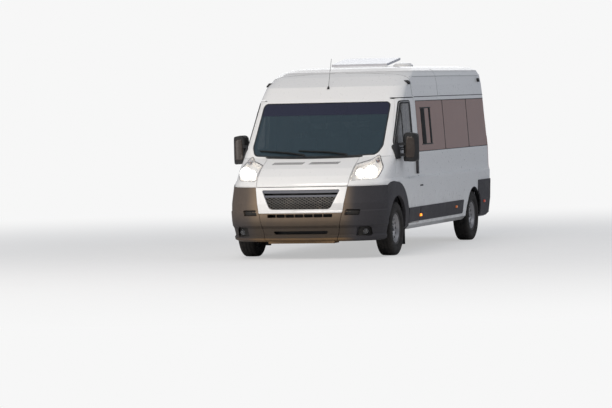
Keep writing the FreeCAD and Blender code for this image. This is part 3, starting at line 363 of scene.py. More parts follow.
@material
def bumper_plastic(n):
    """Bumper moulding: dark grey grain under a khaki film, partly road dust and partly painted warm light,
    which is off at the left corner and thinner at the right corner, a painted shade where they face the side.
    The film is darker towards the bottom, with a rust-brown strip at the lower edge.
    """
    grain = n.noise(520, 3, 0.6)
    base = n.ramp(grain, 0.35, 0.65, (0.03, 0.028, 0.031), (0.046, 0.043, 0.047))
    # Painted warm light on the front of the bumper, and painted shade on its corners
    middle = n.times(n.along(1, *DUST_AND_LIGHT_LEFT), n.along(1, *DUST_AND_LIGHT_RIGHT, 0.35, 1))
    film = n.times(middle, n.spread(n.noise(4, 8, 0.62), 0.15, 0.75, 0.65, 0.95))
    # The film is darker towards the bottom, with a rust-brown strip at the lower edge
    dust_and_light_colour = n.mix(n.along(2, *FILM_DARKER_LOW), (0.245, 0.176, 0.114), (0.056, 0.04, 0.026))
    dust_and_light_colour = n.mix(n.along(2, *TRAY_EDGE), dust_and_light_colour, (0.16, 0.095, 0.04))
    n.set(Base_Color=n.mix(film, base, dust_and_light_colour), Specular_IOR_Level=0.35)
    n.rough(40, 4, 0.55, 0.7)
    n.bump(grain, 0.3, 0.0006)


@material
def glowing(n, colour, centre, reach, strength, edge):
    """A lit reflector: faceted, with a strength at its centre (y, z) that falls to that of its edge."""
    facets = n.noise(70, 2)
    n.set(Base_Color=n.speckled(facets, colour, 0.8), Metallic=0.6, Roughness=0.2)
    n.set(Emission_Color=n.speckled(facets, colour, 0.92, 1, 0.2, 0.8))
    away = n.length(n.minus(n.aside(), centre[0]), n.minus(n.axis(2), centre[1]))
    n.set(Emission_Strength=n.spread(away, 0, reach, strength, edge))


@material
def lens(n, colour, glow=0, rough=0.12):
    """Moulded lens plastic with fine ribs, lit from inside where glow is set."""
    ribs = n.wave("Z", 60)
    dust = n.patches(12, 7, 0.65, 0.45, 0.85, 0.2)
    base = n.speckled(ribs, colour, 0.75, 1.1, 0.1, 0.9)
    n.set(Base_Color=n.mix(dust, base, (0.3, 0.27, 0.23)), Specular_IOR_Level=0.6)
    n.rough(40, 3, rough, rough + 0.12)
    if glow:
        n.set(Emission_Color=base, Emission_Strength=n.spread(ribs, 0, 1, glow * 0.7, glow))
    n.bump(ribs, 0.3, 0.0006)


@material
def gloss(n, colour, rough, metallic=0, dust=0.15):
    """Polished plastic, printed glass or chrome, with a trace of dust and fine scratches."""
    film = n.patches(8, 8, 0.68, 0.45, 0.9, dust)
    base = n.speckled(n.noise(90, 3), colour, 0.92, 1.05)
    n.set(Base_Color=n.mix(film, base, (0.3, 0.28, 0.25)), Metallic=metallic, Specular_IOR_Level=0.5)
    n.rough(60, 4, rough, rough + 0.1)


paint("body_paint", WHITE)
paint("panel_paint", WHITE, arch_shade=True)
paint("roof_paint", WHITE, settled=0.65)
paint("lid_paint", (0.6, 0.605, 0.64))
grained("dark_plastic", (0.046, 0.043, 0.047), dusty=0.12)
grained("black_plastic", (0.018, 0.018, 0.019), dusty=0.12)
grained("grey_plastic", (0.27, 0.27, 0.28), rough=0.4, dusty=0.1)
grained("cabin_plastic", (0.085, 0.085, 0.09), scale=600, dusty=0.08)
grained("floor_lining", (0.06, 0.06, 0.062), scale=300, strength=0.6, dusty=0.4)
# Painted shade for the floors of the bumper pockets
grained("pocket", (0.014, 0.012, 0.01), dusty=0.1)
grained("seal", (0.014, 0.014, 0.014), scale=300, dusty=0.2)
grained("seam", (0.17, 0.17, 0.17), scale=200, dusty=0.2)
# Near-black: the real colour of wiper arms and window frames, and painted shade where it stands for the
# openings of slots, vents and the duct
grained("hollow", (0.006, 0.006, 0.006), scale=100, rough=0.8, dusty=0.03)
grille_plastic("grille")
bumper_plastic("bumper")
# Painted reflection: the warm brown of the side glass is partly a painted reflection on a dark tint, and both
# glance_reflection colours are painted reflections
glazing("side_glass", (0.055, 0.042, 0.038), 0.88, shine=0.35, glance_reflection=(0.62, 0.38, 0.31))
glazing("clear_glass", (0.03, 0.033, 0.032), 0.45, glance_reflection=(0.62, 0.6, 0.58))
glazing("screen_glass", (0.038, 0.062, 0.078), 0.66, edge=0.9, shine=0.5, strip=(0.02, 0.022, 0.042))
glazing("lamp_lens", (0.55, 0.57, 0.6), 0.12, 0.6)
lens("red_lens", (0.34, 0.012, 0.01))
lens("white_lens", (0.62, 0.62, 0.6))
lens("amber", (0.7, 0.16, 0.01), glow=0.25)
lens("amber_lit", (1, 0.24, 0.01), glow=3)
lens("amber_bulb", (0.26, 0.1, 0.04))
lens("red_small", (0.55, 0.05, 0.01), glow=0.3)
glowing("lit", (1, 0.97, 0.9), (0.825, 1.075), 0.1, strength=1.1, edge=0.45)
glowing("lit_soft", (1, 0.96, 0.88), (0.712, 1.06), 0.08, strength=0.8, edge=0.25)
glowing("bulb", (1, 0.98, 0.94), (0.8, 1.07), 0.2, strength=9, edge=6)
glowing("lamp_glow", (1, 0.96, 0.9), (0.79, 1.055), 0.19, strength=0.85, edge=0.12)
gloss("print", (0.008, 0.008, 0.01), rough=0.25)
# Dark gloss whose brown tint is partly a painted reflection
gloss("gloss_brown", (0.055, 0.043, 0.036), rough=0.12)
gloss("chrome", (0.75, 0.76, 0.78), rough=0.06, metallic=1, dust=0.05)
gloss("mirror", (0.8, 0.82, 0.84), rough=0.02, metallic=1, dust=0.04)
rubber("tyre_rubber", (0.014, 0.0125, 0.0115))
wheel_paint("wheel_silver", (0.4, 0.39, 0.39), (0.03, 0.027, 0.025))
metal("dark_steel", (0.05, 0.048, 0.047), rough=0.55, metallic=0.5, dark=(0.1, 0.06, 0.04))
metal("bare_alloy", (0.34, 0.34, 0.35), rough=0.5, scale=60, darkening=0.5)
metal("steel", (0.33, 0.33, 0.34), rough=0.45, scale=40, dark=(0.12, 0.075, 0.05))
cloth("seat_cloth", (0.055, 0.062, 0.085), (0.25, 0.26, 0.3))
# CAD nodes whose material differs from the one of their slot in the record
SPECIAL = {"windscreen": "screen_glass", "grille": "grille", "front_bumper": "bumper", "roof": "roof_paint",
           "side_panel_left": "panel_paint", "side_panel_right": "panel_paint", "hatch_lid": "lid_paint"}


def dress_nodes():
    """Each CAD node gets the material of its slot in the record, or its special one."""
    slots = {row["node"]: row["material_slot"] for row in frame["record"]["subparts"]}
    slots.update(SPECIAL)
    for name, obj in frame["nodes"].items():
        obj.data.materials.clear()
        obj.data.materials.append(M[slots[name]])


def add_stage():
    """Pale floor that fades to the white background, and soft lamps all round."""
    mesh = bpy.data.meshes.new("floor_stage")
    corners = [(x * FLOOR_REACH, y * FLOOR_REACH, 0) for x, y in ((-1, -1), (1, -1), (1, 1), (-1, 1))]
    mesh.from_pydata(corners, [], [(0, 1, 2, 3)])
    floor = add_object("floor_stage", mesh)
    n = Nodes(bpy.data.materials.new("floor_stage"))
    n.set(Base_Color=n.ramp(n.noise(2), 0.3, 0.7, (0.69, 0.69, 0.69), (0.71, 0.71, 0.71)), Roughness=0.9,
          Specular_IOR_Level=0.1)
    away = n.add("ShaderNodeVectorMath", {0: n.place()}, operation="LENGTH").outputs["Value"]
    n.show(n.add("ShaderNodeEmission", {"Color": BACKGROUND}), "Material Output",
           n.spread(away, FADE_FROM, FADE_TO, NEAR_WHITE, 1))
    mesh.materials.append(n.owner)

    world = Nodes(bpy.data.worlds.new("studio"), "Background")
    scene.world = world.owner
    world.set(Color=SKY, Strength=SKY_STRENGTH)
    world.show(world.add("ShaderNodeBackground", {"Color": BACKGROUND}), "World Output")
    for name, at, width, power, colour in LAMPS:
        data = bpy.data.lights.new(name, "AREA")
        lamp = add_object(name, assign(data, shape="SQUARE", size=width, energy=power, color=colour))
        lamp.location = at
        lamp.rotation_euler = (LAMPS_AIM - Vector(at)).to_track_quat("-Z", "Y").to_euler()


OUTWARD = {"left": Vector((0, 1, 0)), "right": Vector((0, -1, 0)), "front": Vector((1, 0, 0)),
           "rear": Vector((-1, 0, 0))}
SIDE_START, END_START = 2, 5
FAR_CORNER = (9, 9)
MOST_CUTS = 6
WELD = 1e-6
RING = 120


def seen(view, *names):
    """CAD nodes seen in a view, to lay pieces on: the way out of their surfaces, and their search trees."""
    def tree(mesh):
        return BVHTree.FromPolygons([v.co for v in mesh.vertices], [p.vertices for p in mesh.polygons])

    return OUTWARD[view], [tree(frame["nodes"][name].data) for name in names]


def land(skin, a, b, lift=0):
    """The place on a skin seen at (a, b), moved off it by lift. None where there is nothing."""
    out, trees = skin
    origin = Vector((a, out.y * SIDE_START, b)) if out.y else Vector((out.x * END_START, a, b))
    best = None
    for tree in trees:
        hit, normal, _, distance = tree.ray_cast(origin, -out)
        if hit is not None and (best is None or distance < best[2]):
            best = (hit, normal if normal.dot(out) > 0 else -normal, distance)
    return best[0] + best[1] * lift if best else None


def as_mesh(name, work):
    mesh = bpy.data.meshes.new(name)
    work.to_mesh(mesh)
    work.free()
    return mesh


def finish_piece(name, mesh, materials, body, sharp):
    """Shading that is smooth up to an angle, materials, and a body to ride on."""
    work = bmesh.new()
    work.from_mesh(mesh)
    bmesh.ops.remove_doubles(work, verts=work.verts, dist=WELD)
    bmesh.ops.recalc_face_normals(work, faces=work.faces)
    work.to_mesh(mesh)
    work.free()
    mesh.shade_smooth()
    mesh.set_sharp_from_angle(angle=radians(sharp))
    obj = add_object(name, mesh)
    for material in materials:
        mesh.materials.append(M[material])
    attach(obj, body)
    return obj


def add_mesh(name, parts, body="body", sharp=35):
    """One piece from several (points, faces, material) parts."""
    points, faces, marks, materials = [], [], [], []
    for part_points, part_faces, material in parts:
        if material not in materials:
            materials.append(material)
        start = len(points)
        points.extend(tuple(p) for p in part_points)
        faces.extend(tuple(start + i for i in face) for face in part_faces)
        marks.extend([materials.index(material)] * len(part_faces))
    mesh = bpy.data.meshes.new(name)
    mesh.from_pydata(points, [], faces)
    for face, mark in zip(mesh.polygons, marks):
        face.material_index = mark
    return finish_piece(name, mesh, materials, body, sharp)


def modify(obj, kind, **settings):
    """Adds a modifier."""
    assign(obj.modifiers.new(kind.lower(), kind), **settings)
    return obj


def outline(points, steps=6):
    """A closed outline in millimetres as 2-D points in metres. A third number rounds that corner."""
    result = []
    corners = [Vector(point[:2]) / 1000 for point in points]
    for point, before, here, after in zip(points, corners[-1:] + corners, corners, corners[1:] + corners):
        if len(point) < 3:
            result.append(here)
            continue
        back, ahead = (before - here).normalized(), (after - here).normalized()
        half = back.angle(ahead) / 2
        radius = point[2] / 1000
        centre = here + (back + ahead).normalized() * (radius / sin(half))
        first = here + back * (radius / tan(half)) - centre
        last = here + ahead * (radius / tan(half)) - centre
        for step in range(steps + 1):
            part = step / steps
            result.append(centre + (first * (1 - part) + last * part).normalized() * radius)
    return result


def mirrored(side, points, steps=6):
    """The outline of points on the left, or its mirror image where side is -1."""
    return outline(points if side == 1 else [(-a, *rest) for a, *rest in points][::-1], steps)


def spaced(loop, count, start):
    """count points evenly spaced along a closed outline, from the corner nearest to start."""
    first = min(range(len(loop)), key=lambda i: (loop[i] - Vector(start)).length)
    loop = loop[first:] + loop[:first + 1]
    lengths = [0]
    for a, b in zip(loop, loop[1:]):
        lengths.append(lengths[-1] + (b - a).length)
    result, index = [], 0
    for step in range(count):
        target = lengths[-1] * step / count
        while lengths[index + 1] < target:
            index += 1
        span = lengths[index + 1] - lengths[index]
        result.append(loop[index].lerp(loop[index + 1], (target - lengths[index]) / span if span else 0))
    return result


def insets(loop, *distances):
    """A closed outline moved inwards by each of the distances."""
    after = loop[1:] + loop[:1]
    area = sum(a.x * b.y - b.x * a.y for a, b in zip(loop, after))
    turn = 1 if area > 0 else -1
    ways = [(b - a).normalized() for a, b in zip(loop[-1:] + loop, after)]
    return [[at + Vector((-way.y, way.x)) * (turn * by) for at, way in zip(loop, ways)] for by in distances]


def laid(name, loops, skin, material, body="body", lift=0.0006, thick=0.001, cell=0.03):
    """Thin plates with 2-D outlines, laid on a surface."""
    work = bmesh.new()
    for loop in loops:
        work.faces.new([work.verts.new((p[0], p[1], 0)) for p in loop])
    bmesh.ops.triangulate(work, faces=work.faces[:])
    for _ in range(MOST_CUTS):
        longest = [e for e in work.edges if e.calc_length() > cell]
        if not longest:
            break
        bmesh.ops.subdivide_edges(work, edges=longest, cuts=1)
        bmesh.ops.triangulate(work, faces=[f for f in work.faces if len(f.verts) > 3])
    for vert in work.verts[:]:
        place = land(skin, vert.co.x, vert.co.y, lift)
        if place is None:
            work.verts.remove(vert)
        else:
            vert.co = place
    piece = finish_piece(name, as_mesh(name, work), [material], body, 60)
    return modify(piece, "SOLIDIFY", thickness=thick, offset=0)


def net(rows, count, closed=True):
    """Faces between rows of count points each. Each row is closed, unless said otherwise."""
    pairs = [(at, (at + 1) % count) for at in range(count if closed else count - 1)]
    starts = range(0, (rows - 1) * count, count)
    return [(low + a, low + b, low + count + b, low + count + a) for low in starts for a, b in pairs]


def band(name, outer, inner, skin, material, body="body", lift=0.001, thick=0.002, count=RING, rows=1,
         start=FAR_CORNER):
    """A closed band between two outlines, laid on a surface."""
    outer, inner = spaced(outer, count, start), spaced(inner, count, start)
    points = [land(skin, *outer[i].lerp(inner[i], row / rows), lift) for row in range(rows + 1)
              for i in range(count)]
    faces = [quad for quad in net(rows + 1, count) if all(points[i] is not None for i in quad)]
    used = sorted({i for face in faces for i in face})
    place = {old: new for new, old in enumerate(used)}
    part = [points[i] for i in used], [[place[i] for i in face] for face in faces], material
    obj = add_mesh(name, [part], body, 60)
    return modify(obj, "SOLIDIFY", thickness=thick, offset=0)


def circle(count):
    """Angles of count steps round a circle."""
    return [2 * pi * step / count for step in range(count)]


def tube(points, radius, material, sides=8):
    """A round bar along a path, as a part. radius may be a list, one for each point."""
    points = [Vector(p) for p in points]
    rings, verts, across = len(points), [], None
    for index, point in enumerate(points):
        along = (points[min(index + 1, rings - 1)] - points[max(index - 1, 0)]).normalized()
        across = along.orthogonal() if across is None else across
        across = (across - along * across.dot(along)).normalized()
        third = along.cross(across)
        thick = radius[index] if isinstance(radius, list) else radius
        verts += [point + across * (thick * cos(t)) + third * (thick * sin(t)) for t in circle(sides)]
    ends = [tuple(range(sides))[::-1], tuple((rings - 1) * sides + i for i in range(sides))]
    return verts, net(rings, sides) + ends, material


def line_on(name, path, skin, radius, material, steps, lift=0):
    """A thin round strip along a 2-D path on a surface."""
    dense = []
    for a, b in zip(path, path[1:]):
        dense += [Vector(a).lerp(Vector(b), step / steps) for step in range(steps)]
    dense.append(Vector(path[-1]))
    places = [land(skin, *p, lift) for p in dense]
    return add_mesh(name, [tube([p for p in places if p is not None], radius, material)])


def turned(profile, centre, axis, segments, material):
    """A profile of (radius, distance along the axis), turned about an axis through centre, as a part."""
    axis = Vector(axis).normalized()
    first = axis.orthogonal().normalized()
    second = axis.cross(first)
    points = [Vector(centre) + axis * height + (first * cos(t) + second * sin(t)) * radius
              for radius, height in profile for t in circle(segments)]
    return points, net(len(profile), segments), material


def rounded_box(low, high, radius, cuts):
    """A box with rounded edges, to work on."""
    work = bmesh.new()
    bmesh.ops.create_cube(work, size=1)
    low, high = Vector(low), Vector(high)
    for vert in work.verts:
        vert.co = Vector([low[i] + (vert.co[i] + 0.5) * (high[i] - low[i]) for i in range(3)])
    bmesh.ops.bevel(work, geom=work.edges[:], offset=radius, segments=cuts, profile=0.5, affect="EDGES")
    return work


def block(low, high, radius, cuts, material, at=(0, 0, 0)):
    """A block with rounded edges, as a part. Its corners are counted from at."""
    work = rounded_box(Vector(at) + Vector(low), Vector(at) + Vector(high), radius, cuts)
    work.verts.index_update()
    points = [v.co.copy() for v in work.verts]
    faces = [tuple(v.index for v in f.verts) for f in work.faces]
    work.free()
    return points, faces, material


# Outlines in millimetres: (y, z) for front and rear, (x, z) for the sides. A third number rounds the corner.
SCREEN = [(-865, 1392, 90), (-809, 1283, 90), (-420, 1268, 400), (420, 1268, 400), (809, 1283, 90),
          (865, 1392, 90), (847, 1952, 65), (-847, 1952, 65)]
SCREEN_CLEAR = [(-818, 1405, 70), (-752, 1344, 70), (-560, 1327, 200), (560, 1327, 200), (752, 1344, 70),
                (818, 1405, 70), (806, 1905, 50), (-806, 1905, 50)]
COWL_TOP = [(640, 1262), (640, 1275), (420, 1267), (-420, 1267), (-640, 1275), (-640, 1262)]
LAMP = [(614, 978, 18), (915, 988, 60), (944, 1130, 90), (842, 1292, 24), (775, 1228, 80), (614, 1176, 18)]
POCKETS = [[(576, 553, 8), (744, 553, 12), (758, 615, 12), (597, 620, 12)],
           [(706, 290, 18), (872, 290, 26), (864, 405, 34), (730, 401, 26)]]
PANES = {"left": [(858, -542), (-550, -1836), (-1844, -2885)],
         "right": [(858, -292), (-300, -1590), (-1598, -2885)]}
PANE_LOW, PANE_HIGH, PANE_CORNER = 1285, 1950, 25
SLIDING_BARS = [[(620, 1385, 20), (620, 1845, 20), (425, 1845, 20), (425, 1385, 20)],
                [(215, 1385, 12), (215, 1845, 12), (125, 1845, 12), (125, 1385, 12)]]
SLIDING_RAILS = [[(660, z, 3), (660, z + 14, 3), (100, z + 14, 3), (100, z, 3)] for z in (1371, 1845)]
DOOR_WINDOW = [(1985, 1345, 45), (1952, 1430, 60), (1528, 1938, 60), (1130, 1938, 50), (1130, 1345, 50)]
DOOR_BARS = [[(1602, 1350), (1575, 1350), (1560, 1905), (1583, 1880)],
             [(1176, 1350), (1132, 1350), (1132, 1932), (1176, 1932)]]
REAR_PANE = [(130, 1315, 50), (700, 1315, 50), (672, 1900, 60), (130, 1900, 50)]
TAIL_INNER, TAIL_OUTER, TAIL_CORNER = 850, 941, 6
TAIL_ZONES = [(978, 1110, "red_lens"), (1116, 1200, "white_lens"), (1206, 1290, "amber"),
              (1296, 1412, "red_lens")]
MIRROR_FRONT = [(1082, 1235, 24), (1194, 1228, 30), (1206, 1350, 60), (1198, 1490, 40), (1098, 1508, 30)]
MIRROR_GLASS = [(1056, 1212, 25), (1204, 1204, 25), (1210, 1350, 60), (1204, 1500, 30), (1076, 1522, 30)]

# Places in metres. Paths on a side are (x, z), and places on the front are (y, z).
SCREEN_TOP = (0, 9)
SCREEN_RING = 240
WIPERS = [((0.43, 1.283), (0.2, 1.312), (-0.2, 1.34)), ((-0.12, 1.283), (-0.36, 1.312), (-0.74, 1.345))]
SLOT_ROWS = [(-0.483, -0.066), (0.015, 0.395)]
SLOTS, SLOT = 14, [(-0.022, 1.18), (-0.008, 1.18), (0.022, 1.207), (0.008, 1.207)]
LAMP_CORNER = (0.614, 0.978)
LAMP_DEPTH = 0.052
BOWLS = [(0.825, 1.075, 0.083, "lit"), (0.712, 1.06, 0.06, "lit_soft")]
BOWL_SHAPE = [(1, 0), (0.97, -0.006), (0.82, -0.022), (0.55, -0.036), (0.28, -0.043)]
INDICATOR, FOG_LAMP = (0.845, 1.212), (0.8, 0.345)
FOG_SHAPES = {
    "lamp_lens": [(0, -0.004), (0.02, -0.004), (0.036, -0.008), (0.04, -0.014), (0.04, -0.02)],
    "dark_steel": [(0.04, -0.018), (0.037, -0.02), (0.028, -0.035), (0.012, -0.045), (0, -0.046)],
    "black_plastic": [(0.042, -0.058), (0.042, -0.004), (0.04, -0.001), (0.0385, -0.004), (0.0385, -0.02)]}
DUCT_LOW, DUCT_HIGH, DUCT_HALF, DUCT_ACROSS, DUCT_UP = 0.255, 0.905, 0.62, 12, 8
DUCT_X, DUCT_BOW = 2.845, 0.1
DRIP_RAIL = [(1.575, 1.982), (1.5, 1.992), (1.3, 1.997), (1.06, 1.999), (-0.9, 2.001), (-2.83, 2.001)]
ROOF_LINE = [(1.02, 2.262), (-0.8, 2.266), (-2.7, 2.262)]
ROOF_JOINT = [(-0.35, z) for z in (2.01, 2.15, 2.262, 2.33, 2.36)]
CAP_EDGE = [(0.965, 2.008), (0.985, 2.12), (0.995, 2.25), (0.98, 2.335), (0.965, 2.36)]
FILLER = (0.845, 0.851)
MARKERS = [(0.898, 0.465, "amber_lit"), (-0.97, 0.498, "amber"), (-2.545, 0.517, "red_small")]
SLIDING_RAIL = [(-0.36, 1.14), (-1.2, 1.14), (-2.2, 1.14)]
SLIDING_HANDLE, REAR_HANDLE = (0.8, 1.12), (0.085, 1.1)
SIDES = ((1, "left"), (-1, "right"))
AXLES = {"front_left": (2.051, 0.91), "front_right": (2.051, -0.91), "rear_left": (-1.984, 0.895),
         "rear_right": (-1.984, -0.895)}

# Thin trim: how far it stands off the surface (below 0: behind it), and how thick it is
PRINT = {"lift": -0.0075, "thick": 0.0006}
EDGE_SEAL = {"lift": 0.0005, "thick": 0.0016}


def add_windscreen():
    """Printed border behind the glass, its rubber edge, and the black panel between it and the bonnet."""
    glass = seen("front", "windscreen")
    screen = outline(SCREEN, 10)
    ring = {"count": SCREEN_RING, "start": SCREEN_TOP}
    band("windscreen_border", *insets(screen, 0.006), outline(SCREEN_CLEAR, 10), glass, "print",
         lift=-0.008, thick=0.0006, rows=3, **ring)
    band("windscreen_seal", *insets(screen, 0.0035, 0.012), glass, "seal", **ring)
    foot = [(y, 1246 + 9 * (y / 600) ** 2) for y in range(-600, 601, 100)]
    laid("cowl", [outline(foot + COWL_TOP)], seen("front", "screen_frame"), "seal", lift=0.001, thick=0.0016)


def add_wipers():
    """Two wipers: pivot cap, tapered arm, and a blade with its rubber."""
    glass = seen("front", "windscreen", "screen_frame")

    def off_glass(point, lift):
        return land(glass, *point, lift)

    for index, places in enumerate(WIPERS):
        foot, elbow, tip = (Vector(place) for place in places)
        parts = [turned([(0, 0), (0.018, 0), (0.018, 0.012), (0.012, 0.02), (0, 0.022)],
                        off_glass(foot, 0), (0.75, 0, 0.66), 20, "black_plastic")]
        line = [foot.lerp(elbow, t / 6) for t in range(7)] + [elbow.lerp(tip, t / 10) for t in range(1, 6)]
        arm = [off_glass(p, 0.017 + 0.006 * min(1, i / 4)) for i, p in enumerate(line)]
        parts.append(tube(arm, [0.012 - 0.0005 * i for i in range(len(arm))], "hollow", 6))
        heel = elbow.lerp(tip, -0.3)
        across = [heel.lerp(tip, t / 16) for t in range(17)]
        frame_line = [off_glass(p, 0.013 + 0.004 * sin(pi * i / 16)) for i, p in enumerate(across)]
        parts.append(tube(frame_line, 0.008, "hollow", 6))
        parts.append(tube([off_glass(p, 0.006) for p in across], 0.0035, "seal", 6))
        obj = add_mesh(f"wiper_{index + 1}", parts)
        if index == 0:
            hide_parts("wipers")


def add_bonnet_slots():
    """Two rows of slanted air slots near the bonnet's rear edge, as near-black plates: painted shade of their
    openings.
    """
    slots = []
    for first, last in SLOT_ROWS:
        for index in range(SLOTS):
            y = first + (last - first) * (index + 0.5) / SLOTS
            slots.append([(y + across, up) for across, up in SLOT])
    laid("bonnet_slots", slots, seen("front", "bonnet"), "hollow", "bonnet", thick=0.0012)


def add_headlamps():
    """On each side: clear lens with its rim, lit back and wall, two bowls with bulbs, indicator, fog lamp."""
    skin = seen("front", "headlamps")
    for side, name in SIDES:
        def behind(place, depth):
            return land(skin, side * place[0], place[1]) - Vector((depth, 0, 0))

        loop = mirrored(side, LAMP, 8)
        corner = (side * LAMP_CORNER[0], LAMP_CORNER[1])
        clear = insets(loop, 0.003)
        cover = laid("headlamp_lens_" + name, clear, skin, "lamp_lens", lift=-0.002, thick=0.003)
        if side == 1:
            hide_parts("headlamps")
        rims = insets(loop, 0, 0.004)
        band("headlamp_edge_" + name, *rims, skin, "grey_plastic", lift=-0.001, start=corner)
        laid("headlamp_back_" + name, rims[1:], skin, "lamp_glow", lift=-LAMP_DEPTH, thick=0.002, cell=0.04)
        rim = spaced(*clear, RING, corner)
        rows = [land(skin, *p, lift) for lift in (-0.003, -LAMP_DEPTH) for p in rim]
        wall = add_mesh(f"headlamp_wall_{name}", [(rows, net(2, RING), "lamp_glow")], sharp=50)
        modify(wall, "SOLIDIFY", thickness=0.0015)
        parts, aim = [], (0.93, side * 0.2, 0.12)
        for y, z, radius, lit in BOWLS:
            front = behind((y, z), 0.028)
            bowl = [(radius * share, depth) for share, depth in BOWL_SHAPE] + [(0.004, -0.045)]
            ring = [(radius + 0.006, -0.004), (radius + 0.005, 0.003), (radius, 0.003), (radius, -0.004)]
            bulb = [(0, 0.004), (0.013, 0.002), (0.016, -0.01), (0.014, -0.042)]
            parts += [turned(bowl, front, aim, 40, lit), turned(ring, front, aim, 40, "chrome"),
                      turned(bulb, front, aim, 20, "bulb")]
        front, aim = behind(INDICATOR, 0.035), (0.9, 0, 0.3)
        cup = [(0.03, 0), (0.026, -0.016), (0.012, -0.026), (0, -0.027)]
        bulb = [(0, 0.006), (0.009, 0.003), (0.01, -0.02)]
        parts += [turned(cup, front, aim, 28, "chrome"), turned(bulb, front, aim, 16, "amber_bulb")]
        add_mesh(f"headlamp_inside_{name}", parts, sharp=40)
        seat = behind(FOG_LAMP, 0)
        fog = [turned(shape, seat, (1, 0, 0), 32, look) for look, shape in FOG_SHAPES.items()]
        add_mesh(f"fog_lamp_{name}", fog, sharp=40)


def add_bumper_depths():
    """Painted shade: near-black plates on the floors of the bumper's blind pockets, and a near-black sheet,
    shaped as a duct, behind the grille and the openings.
    """
    surface = seen("front", "front_bumper")
    # Painted shade on the floors of the pockets
    for side in (1, -1):
        for index, pocket in enumerate(POCKETS):
            laid(f"bumper_pocket_{side}_{index}", [mirrored(side, pocket)], surface, "pocket")
    # Painted shade: a near-black sheet behind the grille and the openings
    across = [-DUCT_HALF + 2 * DUCT_HALF * i / DUCT_ACROSS for i in range(DUCT_ACROSS + 1)]
    up = [DUCT_LOW + (DUCT_HIGH - DUCT_LOW) * i / DUCT_UP for i in range(DUCT_UP + 1)]
    points = [(DUCT_X - DUCT_BOW * (y / 0.6) ** 2, y, z) for z in up for y in across]
    duct = add_mesh("intake_shade_duct", [(points, net(DUCT_UP + 1, DUCT_ACROSS + 1, closed=False), "hollow")])
    modify(duct, "SOLIDIFY", thickness=0.003)


def add_side_glass():
    """Printed borders, joint seals and sliding-window frames on the side panes."""
    for side, panes in PANES.items():
        glass = seen(side, "side_windows")
        for index, (front, rear) in enumerate(panes):
            corners = ((front, PANE_LOW), (front, PANE_HIGH), (rear, PANE_HIGH), (rear, PANE_LOW))
            pane = outline([(x, z, PANE_CORNER) for x, z in corners])
            band(f"pane_border_{side}_{index + 1}", *insets(pane, 0.001, 0.042), glass, "print", **PRINT)
            band(f"pane_seal_{side}_{index + 1}", *insets(pane, 0.0005, 0.0075), glass, "seal", **EDGE_SEAL)
        laid(f"sliding_window_{side}", map(outline, SLIDING_BARS), glass, "hollow", lift=0.0012,
             thick=0.0024, cell=0.06)
        laid(f"sliding_window_rails_{side}", map(outline, SLIDING_RAILS), glass, "seal", lift=0.001,
             thick=0.002, cell=0.06)


def add_door_glass():
    """Weather strips, quarter-light divider and black rear frame of the front door windows."""
    for _, side in SIDES:
        door = "door_" + side
        glass = seen(side, "door_glass_" + side)
        loop = outline(DOOR_WINDOW, 8)
        band(f"door_window_seal_{side}", *insets(loop, 0.001, 0.02), glass, "seal", door, lift=0.0012,
             thick=0.0024, count=140)
        laid(f"door_window_bars_{side}", map(outline, DOOR_BARS), glass, "seal", door, lift=0.0022,
             thick=0.004, cell=0.05)
        band(f"door_window_trim_{side}", *insets(loop, -0.022, -0.006), seen(side, door), "seal", door,
             lift=0.0006, thick=0.0016, count=140)


def add_body_lines():
    """Drip rails, roof seams, filler cap, marker lamps and the rail of the sliding door."""
    for y, side in SIDES:
        skin = seen(side, "roof", "side_panel_" + side, "screen_frame", *(["sliding_door"] if y < 0 else []))
        line_on(f"drip_rail_{side}", DRIP_RAIL, skin, 0.0042, "seal", 10, lift=0.0015)
        line_on(f"roof_line_{side}", ROOF_LINE, skin, 0.0026, "seam", 20)
        line_on(f"roof_joint_{side}_0.35", ROOF_JOINT, skin, 0.0018, "seam", 6)
        line_on(f"cap_edge_{side}", CAP_EDGE, skin, 0.0022, "seam", 8)
        if y > 0:
            cap = (-0.07, -0.004, -0.01), (0.07, 0.003, 0.01)
            add_mesh("filler_cap", [block(*cap, 0.006, 3, "black_plastic", land(skin, *FILLER))])
        cladding = seen(side, "side_cladding")
        inner, outer = sorted((-y * 0.004, y * 0.012))
        marker = (-0.036, inner, -0.016), (0.036, outer, 0.016)
        lenses = [block(*marker, 0.005, 3, kind, land(cladding, x, z)) for x, z, kind in MARKERS]
        add_mesh(f"side_markers_{side}", lenses)
    panel = seen("right", "side_panel_right")
    line_on("sliding_rail", SLIDING_RAIL, panel, 0.007, "black_plastic", 14, lift=0.001)


def add_handles():
    """Handles of the sliding door and of the left rear door."""
    place = land(seen("right", "sliding_door"), *SLIDING_HANDLE)
    grip = block((-0.022, -0.03, -0.1), (0.022, -0.004, 0.1), 0.01, 3, "black_plastic", place)
    add_mesh("sliding_handle", [grip])
    place = land(seen("rear", "rear_door_left"), *REAR_HANDLE)
    parts = [block((-0.03, -0.055, -0.085), (0, 0.055, 0.085), 0.012, 3, "black_plastic", place),
             block((-0.036, -0.018, -0.062), (-0.026, 0.018, 0.062), 0.006, 3, "dark_plastic", place)]
    add_mesh("rear_handle", parts, "rear_door_left")


def add_rear_glass():
    """Printed borders and seals of the rear doors' panes."""
    for side, name in SIDES:
        glass = seen("rear", "rear_glass_" + name)
        pane = mirrored(side, REAR_PANE, 8)
        door = "rear_door_" + name
        band(f"rear_pane_border_{side}", *insets(pane, 0.002, 0.045), glass, "print", door, **PRINT)
        band(f"rear_pane_seal_{side}", *insets(pane, 0.001, 0.011), glass, "seal", door, **EDGE_SEAL)


